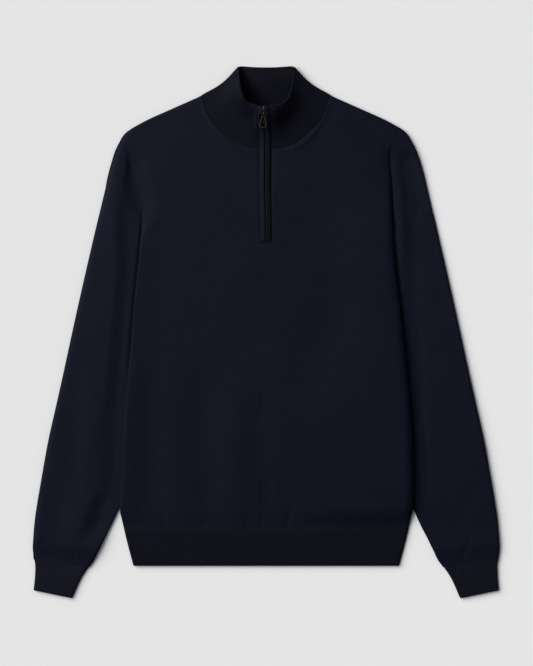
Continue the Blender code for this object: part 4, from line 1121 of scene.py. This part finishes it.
def make_tack(finish):
    """The stitched bar across the zip's foot, over the ends of the welts."""
    x, y = np.meshgrid(zip_x(TACK_LEVELS[0]) + np.linspace(-TACK_HALF, TACK_HALF, TACK_GRID[0]),
                       np.linspace(*TACK_LEVELS, TACK_GRID[1]))
    height = body_heights(x, y)[0] + swell(x, y, *FRONT_SWELL)
    arch = 1.0 - (2.0 * (y - TACK_LEVELS[0]) / (TACK_LEVELS[1] - TACK_LEVELS[0]) - 1.0) ** 2
    height = height + TACK_RISE * (1.0 - (np.abs(x - zip_x(y)) / TACK_HALF) ** 6 * TACK_SAG)
    height = height + TACK_ARCH * arch + TACK_WAVE * np.cos(x * math.tau / TACK_STITCH)
    points = np.stack((x, y, height), axis=-1)
    return add_piece("zip_foot_tack", thicken(grid(points, points[..., :2]), TACK_WALL), finish)


def make_teeth(name, side, finish):
    """The metal teeth on one tape, closed below the slider and apart above it."""
    form = bmesh.new()
    levels = np.arange(SLIT_BOTTOM + TEETH_START, ZIP_TOP - TEETH_STOP, ZIP_PITCH)
    levels = levels + (ZIP_PITCH / 2 if side > 0 else 0.0)
    heights = front_profile(levels)
    ahead = front_profile(levels + 1.0)
    for y, height, next_height in zip(levels, heights, ahead):
        inner = -TOOTH_LAP if y < SLIDER_Y else TOOTH_GAP
        made = bmesh.ops.create_cube(form, size=1.0)["verts"]
        bmesh.ops.scale(form, vec=Vector(TOOTH) * MM, verts=made)
        bmesh.ops.bevel(form, geom=list({edge for vert in made for edge in vert.link_edges}),
                        offset=TOOTH_BEVEL * MM, segments=1, affect="EDGES")
        fresh = form.verts[:][-TOOTH_CORNERS:]
        tilt = math.atan2(next_height - height, 1.0)
        bmesh.ops.rotate(form, cent=(0.0, 0.0, 0.0), matrix=Matrix.Rotation(tilt, 3, "X"), verts=fresh)
        place = Vector((zip_x(y) + side * (inner + TOOTH[0] / 2), y, height + (TAPE_TOP + TAPE_BOTTOM) / 2))
        bmesh.ops.translate(form, vec=place * MM, verts=fresh)
    mesh = bpy.data.meshes.new(name)
    form.to_mesh(mesh)
    form.free()
    mesh.materials.append(finish)
    teeth = add_object(name, mesh)
    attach(teeth, "garment")


# ---- looks: sizes in metres
STITCH_SLANT = 1.5        # courses that a stitch's leg climbs over its wale
FUZZ_SIZE = 0.0007
FUZZ_RISE = 0.5           # against a stitch's
CLOUD_SIZE = 0.035        # uneven dye, in small clouds and in wide patches
MOTTLE = 0.22
PATCH_SIZE = 0.16
WEAR_SIZE = 0.0022        # on metal
GRAIN_SIZE = 0.0004
GRAIN_DEPTH = 0.00005
SHADE_FADE_LENGTH = 2.0         # millimetres over which the teeth's painted shade fades out
KNITS = {   # colour, depth of a stitch in millimetres, sheen
    "fine_knit": ((0.0022, 0.0028, 0.0071), 0.10, 0.01),
    "arm_knit": ((0.0026, 0.0031, 0.0077), 0.10, 0.01),
    "rib_knit": ((0.0021, 0.0022, 0.0046), 0.09, 0.01),
    "cuff_rib_knit": ((0.0032, 0.0033, 0.0070), 0.09, 0.01),
    "neck_rib_knit": ((0.0012, 0.0013, 0.0032), 0.09, 0.027),
}
TAPE_WEAVE = ((0.0035, 0.0038, 0.0060), 0.5, 0.4, 0.06, 0.0)    # colour, thread's two pitches, depth, sheen
METALS = {   # colour, roughness, and the level below which it is darkened with painted shade
    "plated_zinc": ((0.19, 0.188, 0.18), 0.06),
    "teeth_metal": ((0.44, 0.40, 0.30), 0.28, SLIDER_Y + TEETH_SHADE_END),
    "dark_nickel": ((0.012, 0.012, 0.014), 0.5),
}


class Look:
    """A material under construction."""

    def __init__(self, name):
        self.made = bpy.data.materials.new(name)
        self.made.use_nodes = True
        self.nodes = self.made.node_tree.nodes
        self.links = self.made.node_tree.links
        self.shader = self.nodes["Principled BSDF"]

    def plug(self, socket, value):
        if isinstance(value, bpy.types.NodeSocket):
            self.links.new(value, socket)
        else:
            socket.default_value = value

    def node(self, kind, output=0, settings=None, **inputs):
        made = self.nodes.new(kind)
        for key, value in (settings or {}).items():
            setattr(made, key, value)
        for key, value in inputs.items():
            self.plug(made.inputs[key.replace("_", " ")], value)
        return made.outputs[output]

    def sum(self, operation, first, second=0.0):
        made = self.nodes.new("ShaderNodeMath")
        made.operation = operation
        self.plug(made.inputs[0], first)
        self.plug(made.inputs[1], second)
        return made.outputs[0]

    def times(self, first, second):
        return self.sum("MULTIPLY", first, second)

    def plus(self, first, second):
        return self.sum("ADD", first, second)

    def varied(self, source, depth, low):
        """A value from 0 to 1, made shallower and lifted."""
        return self.plus(self.times(source, depth), low)

    def parts(self, vector):
        made = self.nodes.new("ShaderNodeSeparateXYZ")
        self.plug(made.inputs[0], vector)
        return made.outputs

    def noise(self, size, detail=2.0):
        """Noise from 0 to 1 with features of a size in metres."""
        place = self.node("ShaderNodeTexCoord", "Object")
        return self.node("ShaderNodeTexNoise", Vector=place, Scale=1.0 / size, Detail=detail)

    def finish(self, **inputs):
        """Sets the shader's own inputs."""
        for name, value in inputs.items():
            self.plug(self.shader.inputs[name.replace("_", " ")], value)
        return self.made

    def paint(self, colour, shade):
        """One colour as the base colour, made lighter and darker by a shade."""
        tint = self.node("ShaderNodeRGB")
        tint.default_value = (*colour, 1.0)
        scaled = self.nodes.new("ShaderNodeVectorMath")
        scaled.operation = "SCALE"
        self.plug(scaled.inputs[0], tint)
        self.plug(scaled.inputs["Scale"], shade)
        self.finish(Base_Color=scaled.outputs[0])


def cloth(name, colour, wale, course, depth, sheen):
    """Fine knit: slanted stitches in upright wales, soft fuzz, uneven dye, and painted shade in the
    stitches' grooves.
    """
    look = Look(name)
    mark = look.parts(look.node("ShaderNodeUVMap", settings={"uv_map": "knit"}))
    across = look.sum("DIVIDE", mark[0], wale * MM)
    along = look.sum("DIVIDE", mark[1], course * MM)
    leg = look.sum("ABSOLUTE", look.sum("SUBTRACT", look.sum("FRACT", across), 0.5))
    slant = look.plus(along, look.times(leg, STITCH_SLANT))
    loop = look.varied(look.sum("SINE", look.times(slant, math.tau)), 0.3, 0.7)
    groove = look.sum("SUBTRACT", 1.0, look.sum("POWER", look.times(leg, 2.0), 3.0))
    stitch = look.times(groove, loop)
    fuzz = look.noise(FUZZ_SIZE, 3.0)
    cloud = look.noise(CLOUD_SIZE, 3.0)
    patch = look.noise(PATCH_SIZE, 2.0)
    height = look.plus(stitch, look.times(fuzz, FUZZ_RISE))
    # painted shade: the colour is darker in the stitches' grooves; the clouds and patches after it are
    # uneven dye
    shade = look.varied(stitch, 0.16, 0.92)
    shade = look.times(shade, look.varied(cloud, MOTTLE, 1.0 - MOTTLE / 2))
    shade = look.times(shade, look.varied(patch, 0.2, 0.9))
    look.paint(colour, shade)
    bump = look.node("ShaderNodeBump", Height=height, Strength=1.0, Distance=depth * MM)
    return look.finish(Normal=bump, Roughness=0.62, Specular_IOR_Level=0.03, Sheen_Weight=sheen,
                       Sheen_Roughness=0.5, Sheen_Tint=(0.55, 0.62, 1.0, 1.0))


def metal(name, colour, rough, painted_shade_below=None):
    """Plated metal: uneven by wear; teeth below a level, where the zip is closed, are darkened with painted
    shade.
    """
    look = Look(name)
    wear = look.noise(WEAR_SIZE, 3.0)
    fine = look.noise(GRAIN_SIZE, 2.0)
    shade = look.varied(wear, 0.3, 0.85)
    if painted_shade_below is not None:
        # painted shade: teeth below the level are darkened to stand in for the shade of the groove they sit
        # in
        level = look.parts(look.node("ShaderNodeTexCoord", "Object"))[1]
        painted_shade_factor = look.node("ShaderNodeMapRange", Value=level, From_Min=painted_shade_below * MM,
                           From_Max=(painted_shade_below + SHADE_FADE_LENGTH) * MM, To_Min=TOOTH_PAINTED_SHADE, To_Max=1.0)
        shade = look.times(shade, painted_shade_factor)
    look.paint(colour, shade)
    bump = look.node("ShaderNodeBump", Height=fine, Strength=0.3, Distance=GRAIN_DEPTH)
    return look.finish(Roughness=look.varied(wear, 0.12, rough), Normal=bump, Metallic=1.0)


# ---- studio
FLOOR_DROP = 0.0002       # all in metres here, and degrees
FLOOR_HALF = 20.0
FLOOR_COLOUR = (0.80, 0.80, 0.80, 1.0)
SUN_SHARE = 0.77          # of the light on the floor; the rest comes from all round
FLOOR_LIGHT = 0.98
SUN_SPREAD = 58.0         # degrees across
LAMP_AT = (-1.30, 0.78, 0.95)
LAMP_SIZE = 0.7
LAMP_SHARE = 0.80         # of its light at the middle of the sweater, against the floor's
SUN_HEIGHT = 42.0
SUN_TURN = 152.0          # degrees from +X towards +Y
CAMERA_HEIGHT = 8.0
CAMERA_AT = (0.00043, -0.0009)
CAMERA_LENS = 297.6
CAMERA_FAR = 100.0


def make_studio(lit):
    """A pale floor and soft light from the upper left; a nearer lamp there lights the sweater alone."""
    mesh = bpy.data.meshes.new("floor")
    corners = ((-1, -1), (1, -1), (1, 1), (-1, 1))
    points = [(x * FLOOR_HALF, y * FLOOR_HALF, -FLOOR_DROP) for x, y in corners]
    mesh.from_pydata(points, [], [(0, 1, 2, 3)])
    paper = Look("paper").finish(Base_Color=FLOOR_COLOUR, Roughness=1.0, Specular_IOR_Level=0.0)
    mesh.materials.append(paper)
    floor = add_object("floor", mesh)
    floor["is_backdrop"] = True

    height, turn = math.radians(SUN_HEIGHT), math.radians(SUN_TURN)
    lamp = bpy.data.lights.new("key", "SUN")
    lamp.angle = math.radians(SUN_SPREAD)
    lamp.energy = FLOOR_LIGHT * SUN_SHARE * math.pi / math.sin(height)
    way = Vector((math.cos(height) * math.cos(turn), math.cos(height) * math.sin(turn), math.sin(height)))
    add_object("key", lamp).rotation_euler = way.to_track_quat("Z", "Y").to_euler()

    near = bpy.data.lights.new("side", "AREA")
    near.shape = "DISK"
    near.size = LAMP_SIZE
    far = Vector(LAMP_AT).length
    near.energy = FLOOR_LIGHT * LAMP_SHARE * math.pi ** 2 * far ** 2 / (LAMP_AT[2] / far)
    side_lamp = add_object("side", near)
    side_lamp.location = LAMP_AT
    side_lamp.rotation_euler = Vector(LAMP_AT).to_track_quat("Z", "Y").to_euler()
    side_lamp.light_linking.receiver_collection = lit

    world = bpy.data.worlds.new("studio")
    world.use_nodes = True
    sky = world.node_tree.nodes["Background"]
    sky.inputs["Color"].default_value = (1.0, 1.0, 1.0, 1.0)
    sky.inputs["Strength"].default_value = FLOOR_LIGHT * (1.0 - SUN_SHARE)
    bpy.context.scene.world = world

    lens = bpy.data.cameras.new("camera")
    lens.lens = CAMERA_LENS
    lens.clip_end = CAMERA_FAR
    camera = add_object("camera", lens)
    camera.location = (*CAMERA_AT, CAMERA_HEIGHT)
    bpy.context.scene.camera = camera
    bpy.context.scene.view_settings.view_transform = "Standard"


def main():
    lit = bpy.data.collections.new("lit")
    make_studio(lit)
    knit, arm_knit, rib, cuff_rib, neck_rib = (cloth(name, colour, WALE, COURSE, depth, sheen)
                                               for name, (colour, depth, sheen) in KNITS.items())
    tape = cloth("tape_weave", *TAPE_WEAVE)
    steel, brass, dark = (metal(name, *traits) for name, traits in METALS.items())

    front = make_front(knit)
    back = make_back(knit)
    hem = make_hem(rib)
    collar = make_collar(neck_rib)
    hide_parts("front_panel")
    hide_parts("back_panel")
    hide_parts("hem_rib")
    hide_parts("collar")
    for name, side in SIDES.items():
        sleeve = make_sleeve(name, side, arm_knit)
        cuff = make_cuff(name, side, cuff_rib)
        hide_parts("sleeve_" + name)
        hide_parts("cuff_" + name)
        welt = strip("welt_knit_" + name, side, welt_section, rib,
                     SLIT_BOTTOM + SEAM, ZIP_TOP, WELT_RING)
        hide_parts("zip_welt_" + name)
        band = strip("tape_weave_" + name, side, tape_section, tape,
                     SLIT_BOTTOM + SEAM, ZIP_TOP, TAPE_RING)
        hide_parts("zip_tape_" + name)
        make_teeth("zip_teeth_" + name, side, brass)
    make_tack(rib)
    make_chains(neck_rib, rib)
    for name, finish in (("zip_slider", dark), ("zip_pull", steel)):
        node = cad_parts[name]
        node.data.materials.clear()
        node.data.materials.append(finish)
    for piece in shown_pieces():
        lit.objects.link(piece)


main()
